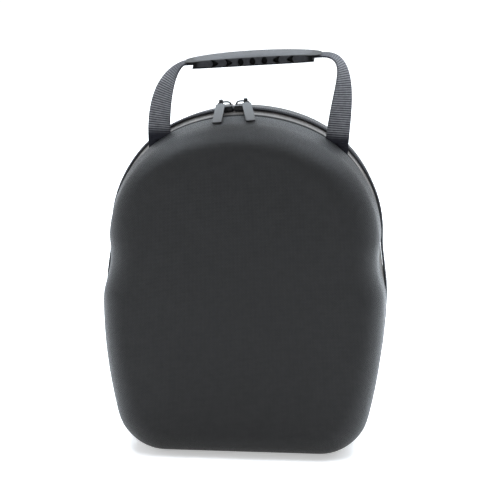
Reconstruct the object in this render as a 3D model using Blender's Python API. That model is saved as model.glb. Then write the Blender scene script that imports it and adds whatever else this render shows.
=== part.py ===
"""Hard-shell travel case for a hat: two hollow shells, a coil zip, a webbing handle with a moulded grip.

Metres, +Z up, front towards -Y. The origin is the middle of the footprint, on the surface it stands on.
"""
import math

import bmesh
import bpy
from mathutils import Matrix, Vector

# Case outline, seen from the front, and the closed case's depth
CASE_HEIGHT = 0.2908
CASE_DEPTH = 0.134
SHOULDER_HALF_WIDTH = 0.1152
WIDEST_HALF_WIDTH = 0.1205
WIDEST_HEIGHT = 0.134
CROWN_RADIUS = 0.140
CROWN_SWEEP = math.radians(20.9)
LOWER_SIDE_RADIUS = 0.441
CORNER_RADIUS = 0.043
WAIST_HEIGHT = 0.166
WAIST_PINCH = 0.0026
WAIST_REACH = 0.028

# Steps along each stretch of the half outline
CROWN_STEPS = 6
SHOULDER_STEPS = 9
FLARE_STEPS = 8
SIDE_STEPS = 5
CORNER_STEPS = 6
BOTTOM_STEPS = 6
ZIP_END_STEPS = 1

# Shells
SHELL_WALL = 0.003
FACE_CROWN = 0.004
BAND_HALF_WIDTH = 0.016
SHELL_DEPTH = CASE_DEPTH / 2.0 - BAND_HALF_WIDTH - FACE_CROWN
EDGE_FILLET = 0.033
EDGE_FILLET_DEPTH = 0.028
WALL_DRAFT = 0.005
OUTER_FILLET_STEPS = 5
INNER_FILLET_STEPS = 3
OUTER_FACE_RINGS = (0.66, 0.33)
INNER_FACE_RINGS = (0.5,)

# Zip
TAPE_THICKNESS = 0.0012
TAPE_FLANGE = 0.008
GROOVE_DEPTH = 0.0022
GROOVE_WIDTH = 0.0010
COIL_CREST = 0.0045
COIL_WIDTH = 0.0066
COIL_TOP_WIDTH = 0.0048
COIL_HEIGHT = 0.0022

# Rows: share of the half outline, then fillet, draft and crest as shares of the named sizes above
SECTIONS = (
    ("top", 0.00, 0.58, 0.80, 1.00),
    ("crown end", 0.15, 0.70, 0.85, 0.90),
    ("shoulder", 0.27, 1.00, 0.80, 0.50),
    ("waist", 0.44, 0.72, 0.55, 0.30),
    ("widest", 0.53, 0.66, 0.50, 0.25),
    ("lower side", 0.70, 0.78, 0.45, 0.20),
    ("corner", 0.78, 0.90, 0.35, -0.05),
    ("corner end", 0.85, 0.80, 0.00, -0.28),
    ("bottom", 1.00, 0.76, 0.00, -0.28),
)
COLUMNS = ("place", "share", "fillet", "draft", "crest")

# Sliders
SLIDER_LENGTH = 0.0140
SLIDER_PLATE = 0.0015
SLIDER_SIDE_WALL = 0.0013
SLIDER_MEETING_OFFSET = -0.0115
SLIDER_NOSE_GAP = 0.0010
POST_WIDTH = 0.0018
POST_LENGTH = 0.0030
BRIDGE_LENGTH = 0.0125
BRIDGE_TOP_LENGTH = 0.0100
BRIDGE_WIDTH = 0.0024
BRIDGE_BAR = 0.0014
BRIDGE_HOLE_LENGTH = 0.0082

# Pulls
PULL_LENGTH = 0.0370
PULL_WIDTH = 0.0080
PULL_THICKNESS = 0.0016
PULL_NECK_WIDTH = 0.0030
PULL_NECK_END = 0.0048
PULL_CORNER = 0.0008
PULL_EYE_WALL = 0.0009
PULL_EYE_LENGTH = 0.0032
PULL_EYE_OFFSET = 0.0024
EYE_SIDES = 16
LEFT_PULL_SPLAY = math.radians(-3.5)
RIGHT_PULL_SPLAY = math.radians(10.0)

# Handle
STRAP_WIDTH = 0.020
STRAP_THICKNESS = 0.0016
STRAP_BASE_TWIST = math.radians(10.0)
STRAP_BASE_DEPTH = -0.0127
STRAP_ROOT = 0.016
SEAM_CUT_DEPTH = 0.048
STRAP_STEPS = 14
LEFT_BASE_OFFSET = -0.0720
RIGHT_BASE_OFFSET = 0.0749
LEFT_RISE = Vector((-0.0079, 0.0, 0.0598))
RIGHT_RISE = Vector((0.0012, 0.0, 0.0505))
LEFT_REACH = 0.0065
RIGHT_REACH = 0.0305
GRIP_LENGTH = 0.114
GRIP_WIDTH = 0.028
GRIP_SIDE_HEIGHT = 0.0072
GRIP_CROWN = 0.0026
GRIP_END_DROP = 0.0014
GRIP_EDGE = 0.0013
GRIP_CENTRE_OFFSET = 0.0047
GRIP_DEPTH_OFFSET = -0.005
GRIP_RISE = 0.0463
GRIP_TILT = math.radians(4.5)
GRIP_STEPS = 8
GRIP_CROWN_STEPS = 4
END_NOTCH_REACH = 0.0075
END_LIP = 0.0022
POCKET_DEPTH = 0.0022
POCKET_HEIGHT = 0.0050
OVAL_WIDTH = 0.0048
OVAL_PITCH = 0.0098
OVAL_COUNT = 3
OVAL_SIDES = 10
CRESCENT_WIDTH = 0.0088
CRESCENT_THICKNESS = 0.0046
CRESCENT_FIRST = 0.0212
CRESCENT_PITCH = 0.0116
CRESCENT_COUNT = 2
CRESCENT_SIDES = 6

# Hinge
HINGE_THICKNESS = 0.0014

# Shading
SHARP_ANGLE = math.radians(40.0)

# Clearances
SEAT_GAP = 0.0003
SLIDING_GAP = 0.0005
EYE_GAP = 0.00026


def clear_scene():
    """Remove every object of the open scene."""
    for item in list(bpy.data.objects):
        bpy.data.objects.remove(item, do_unlink=True)


def material(name, colour, roughness, metallic=0.0):
    """Return a Principled material of one colour."""
    made = bpy.data.materials.new(name)
    made.use_nodes = True
    shader = made.node_tree.nodes["Principled BSDF"]
    shader.inputs["Base Color"].default_value = (*colour, 1.0)
    shader.inputs["Roughness"].default_value = roughness
    shader.inputs["Metallic"].default_value = metallic
    return made


def add_object(name, mesh, finish, place=None):
    """Put a mesh in the scene with its finish, at the place that a matrix gives."""
    item = bpy.data.objects.new(name, mesh)
    bpy.context.scene.collection.objects.link(item)
    if finish is not None:
        mesh.materials.append(finish)
    if place is not None:
        item.matrix_world = place
    return item


def skin_rows(work, rows):
    """Join each ring of a mesh to the next one with quads."""
    for near, far in zip(rows, rows[1:]):
        for index in range(len(near)):
            after = (index + 1) % len(near)
            work.faces.new((near[index], near[after], far[after], far[index]))


def finished_mesh(name, work, smooth):
    """Turn the faces outward, and make a mesh that is shaded smooth or flat."""
    bmesh.ops.recalc_face_normals(work, faces=work.faces)
    mesh = bpy.data.meshes.new(name)
    work.to_mesh(mesh)
    work.free()
    if smooth:
        mesh.shade_smooth()
        mesh.set_sharp_from_angle(angle=SHARP_ANGLE)
    return mesh


def lofted_mesh(name, rings, smooth=True):
    """Skin a row of equal rings, and close both ends with a face."""
    work = bmesh.new()
    rows = [[work.verts.new(point) for point in ring] for ring in rings]
    skin_rows(work, rows)
    work.faces.new(rows[0])
    work.faces.new(rows[-1])
    return finished_mesh(name, work, smooth)


def prism_mesh(name, outline, low, high):
    """Extrude an outline in x and z from one y to another."""
    rings = [[(x, y, z) for x, z in outline] for y in (low, high)]
    return lofted_mesh(name, rings, smooth=False)


def box_mesh(name, low, high):
    """Return a box between two corners."""
    outline = ((low[0], low[2]), (high[0], low[2]), (high[0], high[2]), (low[0], high[2]))
    return prism_mesh(name, outline, low[1], high[1])


def tool_object(name, mesh, place=None):
    """Put a hidden shape in the scene for another piece to be cut or joined with."""
    item = add_object(name, mesh, None, place)
    item.hide_render = True
    item.display_type = "WIRE"
    return item


def shape_with(item, tool, operation):
    """Cut a piece with a hidden shape, or join the shape to it."""
    step = item.modifiers.new(tool.name, "BOOLEAN")
    step.operation = operation
    step.object = tool
    step.solver = "EXACT"


def smoothstep(share):
    """Ease from 0 to 1."""
    share = min(max(share, 0.0), 1.0)
    return share * share * (3.0 - 2.0 * share)


def section_value(share, column):
    """Read a column of the section table at a share of the half outline, on a smooth curve."""
    place = COLUMNS.index(column)
    rows = [(row[1], row[place]) for row in SECTIONS]
    slopes = [0.0]
    for before, here, after in zip(rows, rows[1:], rows[2:]):
        left = (here[1] - before[1]) / (here[0] - before[0])
        right = (after[1] - here[1]) / (after[0] - here[0])
        slopes.append(0.0 if left * right <= 0.0 else 2.0 * left * right / (left + right))
    slopes.append(0.0)
    for index, (start, end) in enumerate(zip(rows, rows[1:])):
        if share <= end[0] or index == len(rows) - 2:
            span = end[0] - start[0]
            t = min(max((share - start[0]) / span, 0.0), 1.0)
            rise = 2 * t ** 3 - 3 * t ** 2 + 1
            lead = t ** 3 - 2 * t ** 2 + t
            drop = t ** 3 - t ** 2
            return (rise * start[1] + lead * span * slopes[index]
                    + (1.0 - rise) * end[1] + drop * span * slopes[index + 1])
    return rows[-1][1]


def shoulder_arc():
    """Return the centre and radius of the arc between the crown and the flaring side."""
    sine = math.sin(CROWN_SWEEP)
    radius = (SHOULDER_HALF_WIDTH - CROWN_RADIUS * sine) / (1.0 - sine)
    spare = CROWN_RADIUS - radius
    centre = (spare * sine, CASE_HEIGHT - CROWN_RADIUS + spare * math.cos(CROWN_SWEEP))
    return centre, radius


def arc(centre, radius, start, end, steps):
    """Return the points of an arc without its first one; angles are measured from +X."""
    angles = [start + (end - start) * (index + 1) / steps for index in range(steps)]
    return [(centre[0] + radius * math.cos(a), centre[1] + radius * math.sin(a)) for a in angles]


def half_outline():
    """Return the right half of the case's outline, from the top centre to the bottom centre."""
    quarter = math.pi / 2.0
    points = [(0.0, CASE_HEIGHT)]
    crown_centre = (0.0, CASE_HEIGHT - CROWN_RADIUS)
    points += arc(crown_centre, CROWN_RADIUS, quarter, quarter - CROWN_SWEEP, CROWN_STEPS)
    centre, radius = shoulder_arc()
    points += arc(centre, radius, quarter - CROWN_SWEEP, 0.0, SHOULDER_STEPS)
    flare_top = centre[1]
    for index in range(FLARE_STEPS):
        share = (index + 1) / FLARE_STEPS
        width = SHOULDER_HALF_WIDTH + smoothstep(share) * (WIDEST_HALF_WIDTH - SHOULDER_HALF_WIDTH)
        points.append((width, flare_top + share * (WIDEST_HEIGHT - flare_top)))
    lower_centre = (WIDEST_HALF_WIDTH - LOWER_SIDE_RADIUS, WIDEST_HEIGHT)
    drop = WIDEST_HEIGHT - CORNER_RADIUS
    between = LOWER_SIDE_RADIUS - CORNER_RADIUS
    turn = math.asin(drop / between)
    corner_centre = (lower_centre[0] + between * math.cos(turn), CORNER_RADIUS)
    points += arc(lower_centre, LOWER_SIDE_RADIUS, 0.0, -turn, SIDE_STEPS)
    points += arc(corner_centre, CORNER_RADIUS, -turn, -quarter, CORNER_STEPS)
    for index in range(BOTTOM_STEPS):
        points.append((corner_centre[0] * (1.0 - (index + 1) / BOTTOM_STEPS), 0.0))
    return points


class Station:
    """A place on the outline: its point, outward direction and share of the half outline."""

    def __init__(self, point, outward, share):
        self.x = point[0]
        self.z = point[1]
        self.outward = outward
        self.share = share
        off_waist = (self.z - WAIST_HEIGHT) / WAIST_REACH
        bell = max(0.0, 1.0 - off_waist * off_waist) ** 2
        self.rim = -WAIST_PINCH * bell
        self.fillet = EDGE_FILLET * section_value(share, "fillet")
        self.draft = WALL_DRAFT * section_value(share, "draft")
        self.crest = COIL_CREST * section_value(share, "crest")

    def at(self, out, depth):
        """Return the point that lies out from the outline, at a depth along Y."""
        return (self.x + out * self.outward[0], depth, self.z + out * self.outward[1])


def outline_stations():
    """Return the stations of the whole outline, clockwise from the top centre."""
    half = half_outline()
    lengths = [0.0]
    for before, here in zip(half, half[1:]):
        lengths.append(lengths[-1] + math.dist(before, here))
    right = []
    for index, point in enumerate(half):
        before = half[index - 1] if index > 0 else (-half[1][0], half[1][1])
        after = half[index + 1] if index < len(half) - 1 else (-half[-2][0], half[-2][1])
        along = Vector((after[0] - before[0], after[1] - before[1])).normalized()
        outward = (-along[1], along[0])
        right.append(Station(point, outward, lengths[index] / lengths[-1]))
    left = [Station((-s.x, s.z), (-s.outward[0], s.outward[1]), s.share) for s in right[1:-1]]
    return right + left[::-1]


def shell_rings(stations, wall, side, fillet_steps, face_rings):
    """Return the rings of one skin of a shell, from its rim to the middle of its face.

    wall is how far the skin lies inside the outer one, and side is -1 for the front and 1 for the back.
    """
    def ring(inset_of, depth_of):
        return [s.at(s.rim - inset_of(s), side * (BAND_HALF_WIDTH + depth_of(s))) for s in stations]

    wall_end = SHELL_DEPTH - EDGE_FILLET_DEPTH
    draft_share = wall_end / SHELL_DEPTH
    rings = [ring(lambda s: wall, lambda s: 0.0)]
    for index in range(fillet_steps + 1):
        angle = math.pi / 2.0 * index / fillet_steps
        rings.append(ring(
            lambda s: wall + s.draft * draft_share + (s.fillet - wall) * (1.0 - math.cos(angle)),
            lambda s: wall_end + (EDGE_FILLET_DEPTH - wall) * math.sin(angle)))
    edge = rings[-1]
    middle = Vector((0.0, 0.0, CASE_HEIGHT / 2.0))
    for share in face_rings:
        depth = side * (BAND_HALF_WIDTH + SHELL_DEPTH - wall + FACE_CROWN * (1.0 - share * share))
        rings.append([(middle.x + share * (x - middle.x), depth, middle.z + share * (z - middle.z))
                      for x, y, z in edge])
    depth = side * (BAND_HALF_WIDTH + SHELL_DEPTH - wall + FACE_CROWN)
    return rings, (middle.x, depth, middle.z)


def build_shell(name, stations, side, finish):
    """Build one hollow tray, open towards the zip."""
    outer, outer_middle = shell_rings(stations, 0.0, side, OUTER_FILLET_STEPS, OUTER_FACE_RINGS)
    inner, inner_middle = shell_rings(stations, SHELL_WALL, side, INNER_FILLET_STEPS, INNER_FACE_RINGS)
    work = bmesh.new()
    rows = [[work.verts.new(point) for point in ring] for ring in outer[::-1] + inner]
    skin_rows(work, rows)
    for row, point in ((rows[0], outer_middle), (rows[-1], inner_middle)):
        centre = work.verts.new(point)
        for index in range(len(row)):
            work.faces.new((row[index], row[(index + 1) % len(row)], centre))
    return add_object(name, finished_mesh(name, work, True), finish)


def zip_stations(stations):
    """Return the stations that the zip follows, from its left end over the top to its right end."""
    half = len(stations) // 2
    end = half - BOTTOM_STEPS + ZIP_END_STEPS
    return stations[-end:] + stations[:end + 1]


def groove_floor(station):
    """Return how far out the floor of the groove beside a rim lies."""
    return station.rim - GROOVE_DEPTH


def tape_height(station, depth):
    """Return how far out the tape's outer face lies at a distance from the middle of the band."""
    start = BAND_HALF_WIDTH - GROOVE_WIDTH
    crest = station.crest - COIL_HEIGHT - SEAT_GAP
    floor = groove_floor(station)
    return crest + (floor - crest) * (depth - SEAT_GAP) / (start - SEAT_GAP)


def tape_section(station, side):
    """Return the closed section of a zip tape at a station."""
    rim_face = BAND_HALF_WIDTH - SEAT_GAP
    groove = BAND_HALF_WIDTH - GROOVE_WIDTH
    under = station.rim - SHELL_WALL - SEAT_GAP
    flange_end = under - station.draft * TAPE_FLANGE / SHELL_DEPTH
    outer = (
        (flange_end, BAND_HALF_WIDTH + TAPE_FLANGE),
        (under, rim_face),
        (tape_height(station, groove), groove),
        (tape_height(station, SEAT_GAP), SEAT_GAP),
    )
    inner = (
        (tape_height(station, SEAT_GAP) - TAPE_THICKNESS, SEAT_GAP),
        (tape_height(station, groove) - TAPE_THICKNESS, groove - TAPE_THICKNESS),
        (under - TAPE_THICKNESS, rim_face - TAPE_THICKNESS),
        (flange_end - TAPE_THICKNESS, BAND_HALF_WIDTH + TAPE_FLANGE),
    )
    return [station.at(out, side * depth) for out, depth in outer + inner]


def coil_section(station):
    """Return the closed section of the coil at a station, with an underside that follows the tapes."""
    half = COIL_WIDTH / 2.0
    half_top = COIL_TOP_WIDTH / 2.0
    foot = tape_height(station, half) + SEAT_GAP
    middle = tape_height(station, SEAT_GAP) + SEAT_GAP
    points = (
        (foot, -half),
        (station.crest, -half_top),
        (station.crest, half_top),
        (foot, half),
        (middle, 0.0),
    )
    return [station.at(out, depth) for out, depth in points]


def build_zip(stations, tape_finish, coil_finish):
    """Build the two tapes and the coil, with the slot between the sliders' posts cut out of them."""
    path = zip_stations(stations)
    pieces = []
    for name, side in (("front_tape", -1), ("back_tape", 1)):
        mesh = lofted_mesh(name, [tape_section(s, side) for s in path])
        pieces.append(add_object(name, mesh, tape_finish))
    mesh = lofted_mesh("zip_coil", [coil_section(s) for s in path])
    pieces.append(add_object("zip_coil", mesh, coil_finish))
    reach = SLIDER_NOSE_GAP / 2.0 + POST_LENGTH + SLIDING_GAP
    half = POST_WIDTH / 2.0 + SLIDING_GAP
    rise = COIL_CREST + COIL_HEIGHT
    slot_mesh = box_mesh("post_slot", (-reach, -half, -rise - TAPE_THICKNESS), (reach, half, rise))
    slot = tool_object("post_slot", slot_mesh, crown_place(SLIDER_MEETING_OFFSET))
    for piece in pieces:
        shape_with(piece, slot, "DIFFERENCE")


def crown_place(offset):
    """Return the frame on the coil's crest at a distance along the crown: x along it, z out of it."""
    angle = offset / CROWN_RADIUS
    crest = CASE_HEIGHT - CROWN_RADIUS + (CROWN_RADIUS + COIL_CREST) * math.cos(angle)
    side = (CROWN_RADIUS + COIL_CREST) * math.sin(angle)
    return Matrix.Translation((side, 0.0, crest)) @ Matrix.Rotation(angle, 4, "Y")


def slider_centres():
    """Return how far along the crown each slider's middle lies."""
    apart = (SLIDER_LENGTH + SLIDER_NOSE_GAP) / 2.0
    return SLIDER_MEETING_OFFSET - apart, SLIDER_MEETING_OFFSET + apart


def eye_radii():
    """Return the inner and outer radius of a pull's eye, which clears the corners of the bridge's bar."""
    bar_corner = math.hypot(BRIDGE_WIDTH, BRIDGE_BAR) / 2.0
    inner = bar_corner + EYE_GAP
    return inner, inner + PULL_EYE_WALL


def plate_top():
    """Return the height of a slider's top face over the coil."""
    return SLIDING_GAP + SLIDER_PLATE


def bar_height():
    """Return the height of a bridge's bar over the coil."""
    return plate_top() + eye_radii()[1] + SLIDING_GAP


def tape_drop(depth):
    """Return how far the tape's outer face lies under the coil's crest at the top centre."""
    slope = (COIL_CREST + GROOVE_DEPTH - COIL_HEIGHT) / (BAND_HALF_WIDTH - GROOVE_WIDTH)
    return COIL_HEIGHT + SEAT_GAP + slope * depth


def build_slider(name, offset, nose, finish):
    """Build one slider: plate with side walls, post and keeper plate at its nose end, and bridge.

    nose is 1 where the slider's wide end points along +X, and -1 where it points the other way.
    """
    place = crown_place(offset)
    half = SLIDER_LENGTH / 2.0
    inner_half = COIL_WIDTH / 2.0 + SLIDING_GAP
    outer_half = inner_half + SLIDER_SIDE_WALL
    wall_foot = -tape_drop(inner_half) + SLIDING_GAP
    section = (
        (-outer_half, wall_foot), (-outer_half, plate_top() - SLIDER_PLATE / 2.0),
        (-outer_half + SLIDER_PLATE / 2.0, plate_top()), (outer_half - SLIDER_PLATE / 2.0, plate_top()),
        (outer_half, plate_top() - SLIDER_PLATE / 2.0), (outer_half, wall_foot),
        (inner_half, wall_foot), (inner_half, SLIDING_GAP),
        (-inner_half, SLIDING_GAP), (-inner_half, wall_foot),
    )
    rings = [[(x, y, z) for y, z in section] for x in (-half, half)]
    slider = add_object(name, lofted_mesh(name, rings, smooth=False), finish, place)
    keeper_top = -tape_drop(outer_half) - TAPE_THICKNESS - SLIDING_GAP
    keeper = box_mesh(name + "_keeper", (-half, -outer_half, keeper_top - SLIDER_PLATE),
                      (half, outer_half, keeper_top))
    nose_end = nose * half
    post_end = nose * (half - POST_LENGTH)
    post = box_mesh(name + "_post",
                    (min(nose_end, post_end), -POST_WIDTH / 2.0, keeper_top - SLIDER_PLATE / 2.0),
                    (max(nose_end, post_end), POST_WIDTH / 2.0, plate_top() - SLIDER_PLATE / 2.0))
    bar_top = bar_height() + BRIDGE_BAR / 2.0
    base = plate_top() - SLIDER_PLATE / 2.0
    shoulder = (plate_top() + bar_top) / 2.0
    arch = (
        (-BRIDGE_LENGTH / 2.0, base), (BRIDGE_LENGTH / 2.0, base), (BRIDGE_LENGTH / 2.0, plate_top()),
        ((BRIDGE_LENGTH + BRIDGE_TOP_LENGTH) / 4.0, shoulder), (BRIDGE_TOP_LENGTH / 2.0, bar_top),
        (-BRIDGE_TOP_LENGTH / 2.0, bar_top), (-(BRIDGE_LENGTH + BRIDGE_TOP_LENGTH) / 4.0, shoulder),
        (-BRIDGE_LENGTH / 2.0, plate_top()),
    )
    bridge = prism_mesh(name + "_bridge", arch, -BRIDGE_WIDTH / 2.0, BRIDGE_WIDTH / 2.0)
    hole = box_mesh(name + "_hole", (-BRIDGE_HOLE_LENGTH / 2.0, -BRIDGE_WIDTH, plate_top()),
                    (BRIDGE_HOLE_LENGTH / 2.0, BRIDGE_WIDTH, bar_height() - BRIDGE_BAR / 2.0))
    hidden_hole = tool_object(name + "_hole", hole, place)
    hidden_bridge = tool_object(name + "_bridge", bridge, place)
    shape_with(hidden_bridge, hidden_hole, "DIFFERENCE")
    shape_with(slider, hidden_bridge, "UNION")
    shape_with(slider, tool_object(name + "_keeper", keeper, place), "UNION")
    shape_with(slider, tool_object(name + "_post", post, place), "UNION")
    return slider


def pull_dip():
    """Return the angle under the horizontal at which a pull's tip rests on the front shell."""
    wall_drop = WALL_DRAFT * section_value(0.0, "draft") * (PULL_LENGTH - BAND_HALF_WIDTH) / SHELL_DEPTH
    fall = COIL_CREST + bar_height() + wall_drop - PULL_THICKNESS / 2.0 - SLIDING_GAP
    return math.asin(fall / PULL_LENGTH)


def cylinder_mesh(name, radius, length):
    """Return a round bar along X."""
    rings = []
    for x in (-length / 2.0, length / 2.0):
        angles = [2.0 * math.pi * index / EYE_SIDES for index in range(EYE_SIDES)]
        rings.append([(x, radius * math.cos(a), radius * math.sin(a)) for a in angles])
    return lofted_mesh(name, rings)


def build_pull(name, offset, side, splay, finish):
    """Build one pull: an eye round the bridge's bar, a neck, and a flat plate that lies on the shell.

    side is -1 or 1 for the direction in which the eye lies from the middle of the bar.
    """
    inner, outer = eye_radii()
    half_neck = PULL_NECK_WIDTH / 2.0
    half = PULL_WIDTH / 2.0
    plan = (
        (-half_neck, -inner), (-half_neck, -PULL_NECK_END), (-half + PULL_CORNER, -PULL_NECK_END),
        (-half, -PULL_NECK_END - PULL_CORNER), (-half, -PULL_LENGTH + PULL_CORNER),
        (-half + PULL_CORNER, -PULL_LENGTH), (half - PULL_CORNER, -PULL_LENGTH),
        (half, -PULL_LENGTH + PULL_CORNER), (half, -PULL_NECK_END - PULL_CORNER),
        (half - PULL_CORNER, -PULL_NECK_END), (half_neck, -PULL_NECK_END), (half_neck, -inner),
    )
    turned = [(x * math.cos(splay) - y * math.sin(splay), x * math.sin(splay) + y * math.cos(splay))
              for x, y in plan]
    rings = [[(x, y, z) for x, y in turned] for z in (-PULL_THICKNESS / 2.0, PULL_THICKNESS / 2.0)]
    dip = Matrix.Rotation(pull_dip(), 4, "X")
    place = crown_place(offset) @ Matrix.Translation((side * PULL_EYE_OFFSET, 0.0, bar_height())) @ dip
    pull = add_object(name, lofted_mesh(name, rings, smooth=False), finish, place)
    eye = cylinder_mesh(name + "_eye", outer, PULL_EYE_LENGTH)
    bore = cylinder_mesh(name + "_bore", inner, PULL_EYE_LENGTH * 2.0)
    shape_with(pull, tool_object(name + "_eye", eye, place), "UNION")
    shape_with(pull, tool_object(name + "_bore", bore, place), "DIFFERENCE")
    return pull


def grip_place():
    """Return the grip's frame: x along the grip, z out of its top."""
    centre = (GRIP_CENTRE_OFFSET, GRIP_DEPTH_OFFSET, CASE_HEIGHT + GRIP_RISE)
    return Matrix.Translation(centre) @ Matrix.Rotation(-GRIP_TILT, 4, "Y")


def bezier(points, t):
    """Return a point and direction on a cubic curve."""
    a, b, c, d = points
    s = 1.0 - t
    point = a * s ** 3 + b * (3 * s * s * t) + c * (3 * s * t * t) + d * t ** 3
    along = (b - a) * (3 * s * s) + (c - b) * (6 * s * t) + (d - c) * (3 * t * t)
    return point, along.normalized()


def strap_side(side, base_offset, rise, reach):
    """Return the frames of one side of the strap, from its sewn root to the grip's end.

    Each frame is a point, the direction across the webbing and the direction through it.
    """
    centre, radius = shoulder_arc()
    from_centre = abs(base_offset) - centre[0]
    seam = centre[1] + math.sqrt(radius * radius - from_centre * from_centre)
    grip = grip_place()
    end = grip @ Vector((side * GRIP_LENGTH / 2.0, 0.0, 0.0))
    before_end = grip @ Vector((side * (GRIP_LENGTH / 2.0 + reach), 0.0, 0.0))
    root = Vector((base_offset, STRAP_BASE_DEPTH, seam - STRAP_ROOT))
    curve = (root, root + rise, before_end, end)
    frames = []
    for index in range(STRAP_STEPS + 1):
        t = index / STRAP_STEPS
        point, along = bezier(curve, t)
        flat = Vector((along.z * -side, 0.0, along.x * side)).normalized()
        twist = STRAP_BASE_TWIST + (math.pi / 2.0 - STRAP_BASE_TWIST) * smoothstep(t)
        across = flat * math.cos(twist) + Vector((0.0, -1.0, 0.0)) * math.sin(twist)
        through = along.cross(across).normalized()
        across = through.cross(along).normalized()
        frames.append((point, across, through * side))
    return frames


def strap_section(frame):
    """Return the four corners of the webbing at a frame."""
    point, across, through = frame
    half = STRAP_WIDTH / 2.0
    thick = STRAP_THICKNESS / 2.0
    return [point + across * (sx * half) + through * (sz * thick)
            for sx, sz in ((-1, -1), (1, -1), (1, 1), (-1, 1))]


def build_strap(stations, finish):
    """Build the webbing from one shoulder through the grip to the other, cut to the seam it is sewn in."""
    left = strap_side(-1, LEFT_BASE_OFFSET, LEFT_RISE, LEFT_REACH)
    right = strap_side(1, RIGHT_BASE_OFFSET, RIGHT_RISE, RIGHT_REACH)
    rings = [strap_section(frame) for frame in left + right[::-1]]
    strap = add_object("handle_strap", lofted_mesh("handle_strap", rings), finish)
    path = zip_stations(stations)
    cutter = tool_object("seam_cutter", lofted_mesh("seam_cutter", [seam_section(s) for s in path]))
    shape_with(strap, cutter, "DIFFERENCE")
    return strap


def seam_section(station):
    """Return the section of the band with its clearance, which trims the strap's roots."""
    wide = BAND_HALF_WIDTH + TAPE_FLANGE
    groove = BAND_HALF_WIDTH - GROOVE_WIDTH
    coil_edge = COIL_WIDTH / 2.0 + SEAT_GAP
    outer = (
        (station.rim + SEAT_GAP, -wide),
        (station.rim + SEAT_GAP, -groove - SEAT_GAP),
        (tape_height(station, groove) + SEAT_GAP, -groove),
        (tape_height(station, coil_edge) + SEAT_GAP, -coil_edge),
        (station.crest + SEAT_GAP, -coil_edge),
        (station.crest + SEAT_GAP, wide),
        (-SEAM_CUT_DEPTH, wide),
        (-SEAM_CUT_DEPTH, -wide),
    )
    return [station.at(out, y) for out, y in outer]


def grip_section(along):
    """Return the grip's section at a place along it, crowned on top."""
    half = GRIP_WIDTH / 2.0
    low = -GRIP_SIDE_HEIGHT / 2.0
    share = 2.0 * along / GRIP_LENGTH
    high = GRIP_SIDE_HEIGHT / 2.0 - GRIP_END_DROP * share ** 4
    bow = GRIP_CROWN * (1.0 - share ** 2)
    points = [(-half, high - GRIP_EDGE), (-half, low + GRIP_EDGE), (-half + GRIP_EDGE, low)]
    points += [(half - GRIP_EDGE, low), (half, low + GRIP_EDGE), (half, high - GRIP_EDGE)]
    for index in range(GRIP_CROWN_STEPS + 1):
        across = (half - GRIP_EDGE) * (1.0 - 2.0 * index / GRIP_CROWN_STEPS)
        points.append((across, high + bow * (1.0 - (across / half) ** 2)))
    return [(along, y, z) for y, z in points]


def oval_outline(centre):
    """Return an oval of the grip's pattern."""
    angles = [2.0 * math.pi * index / OVAL_SIDES for index in range(OVAL_SIDES)]
    return [(centre + OVAL_WIDTH / 2.0 * math.cos(a), POCKET_HEIGHT / 2.0 * math.sin(a)) for a in angles]


def crescent_outline(centre, side):
    """Return a crescent of the grip's pattern, with its back towards the grip's middle."""
    half = POCKET_HEIGHT / 2.0
    bulge = CRESCENT_THICKNESS
    hollow = CRESCENT_WIDTH - CRESCENT_THICKNESS
    back = []
    front = []
    for index in range(CRESCENT_SIDES + 1):
        angle = math.pi * (index / CRESCENT_SIDES - 0.5)
        height = half * math.sin(angle)
        reach = math.cos(angle)
        back.append((centre - side * (bulge + hollow) * reach + side * CRESCENT_WIDTH / 2.0, height))
        front.append((centre - side * hollow * reach + side * CRESCENT_WIDTH / 2.0, height))
    return back + front[::-1][1:-1]


def pattern_outlines():
    """Return the outlines of the ovals in the middle and the crescents on both sides of them."""
    outlines = []
    for index in range(OVAL_COUNT):
        outlines.append(oval_outline((index - (OVAL_COUNT - 1) / 2.0) * OVAL_PITCH))
    for side in (-1, 1):
        for index in range(CRESCENT_COUNT):
            outlines.append(crescent_outline(side * (CRESCENT_FIRST + index * CRESCENT_PITCH), side))
    return outlines


def build_grip(finish):
    """Build the moulded sleeve: channel for the strap, notched ends and the pattern in both side walls."""
    place = grip_place()
    stations = [(index / GRIP_STEPS - 0.5) * GRIP_LENGTH for index in range(GRIP_STEPS + 1)]
    rings = [grip_section(along) for along in stations]
    grip = add_object("handle_grip", lofted_mesh("handle_grip", rings), finish, place)
    half = STRAP_WIDTH / 2.0 + SEAT_GAP
    thick = STRAP_THICKNESS / 2.0 + SEAT_GAP
    channel = box_mesh("grip_channel", (-GRIP_LENGTH, -half, -thick), (GRIP_LENGTH, half, thick))
    shape_with(grip, tool_object("grip_channel", channel, place), "DIFFERENCE")
    top = GRIP_SIDE_HEIGHT / 2.0 - END_LIP
    low = -GRIP_SIDE_HEIGHT
    for side in (-1, 1):
        edge = side * GRIP_LENGTH / 2.0
        notch = [(edge + side * END_LIP, top), (edge + side * END_LIP, low), (edge, low)]
        for index in range(CRESCENT_SIDES + 1):
            angle = math.pi / 2.0 * index / CRESCENT_SIDES
            notch.append((edge - side * END_NOTCH_REACH * math.sin(angle),
                          low + (top - low) * (1.0 - math.cos(angle))))
        cut = prism_mesh("grip_end_cut", notch, -GRIP_WIDTH, GRIP_WIDTH)
        shape_with(grip, tool_object("grip_end_cut", cut, place), "DIFFERENCE")
    floor = GRIP_WIDTH / 2.0 - POCKET_DEPTH
    for outline in pattern_outlines():
        for low_y, high_y in ((-GRIP_WIDTH, -floor), (floor, GRIP_WIDTH)):
            pocket = prism_mesh("grip_pocket", outline, low_y, high_y)
            shape_with(grip, tool_object("grip_pocket", pocket, place), "DIFFERENCE")
    return grip


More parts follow.
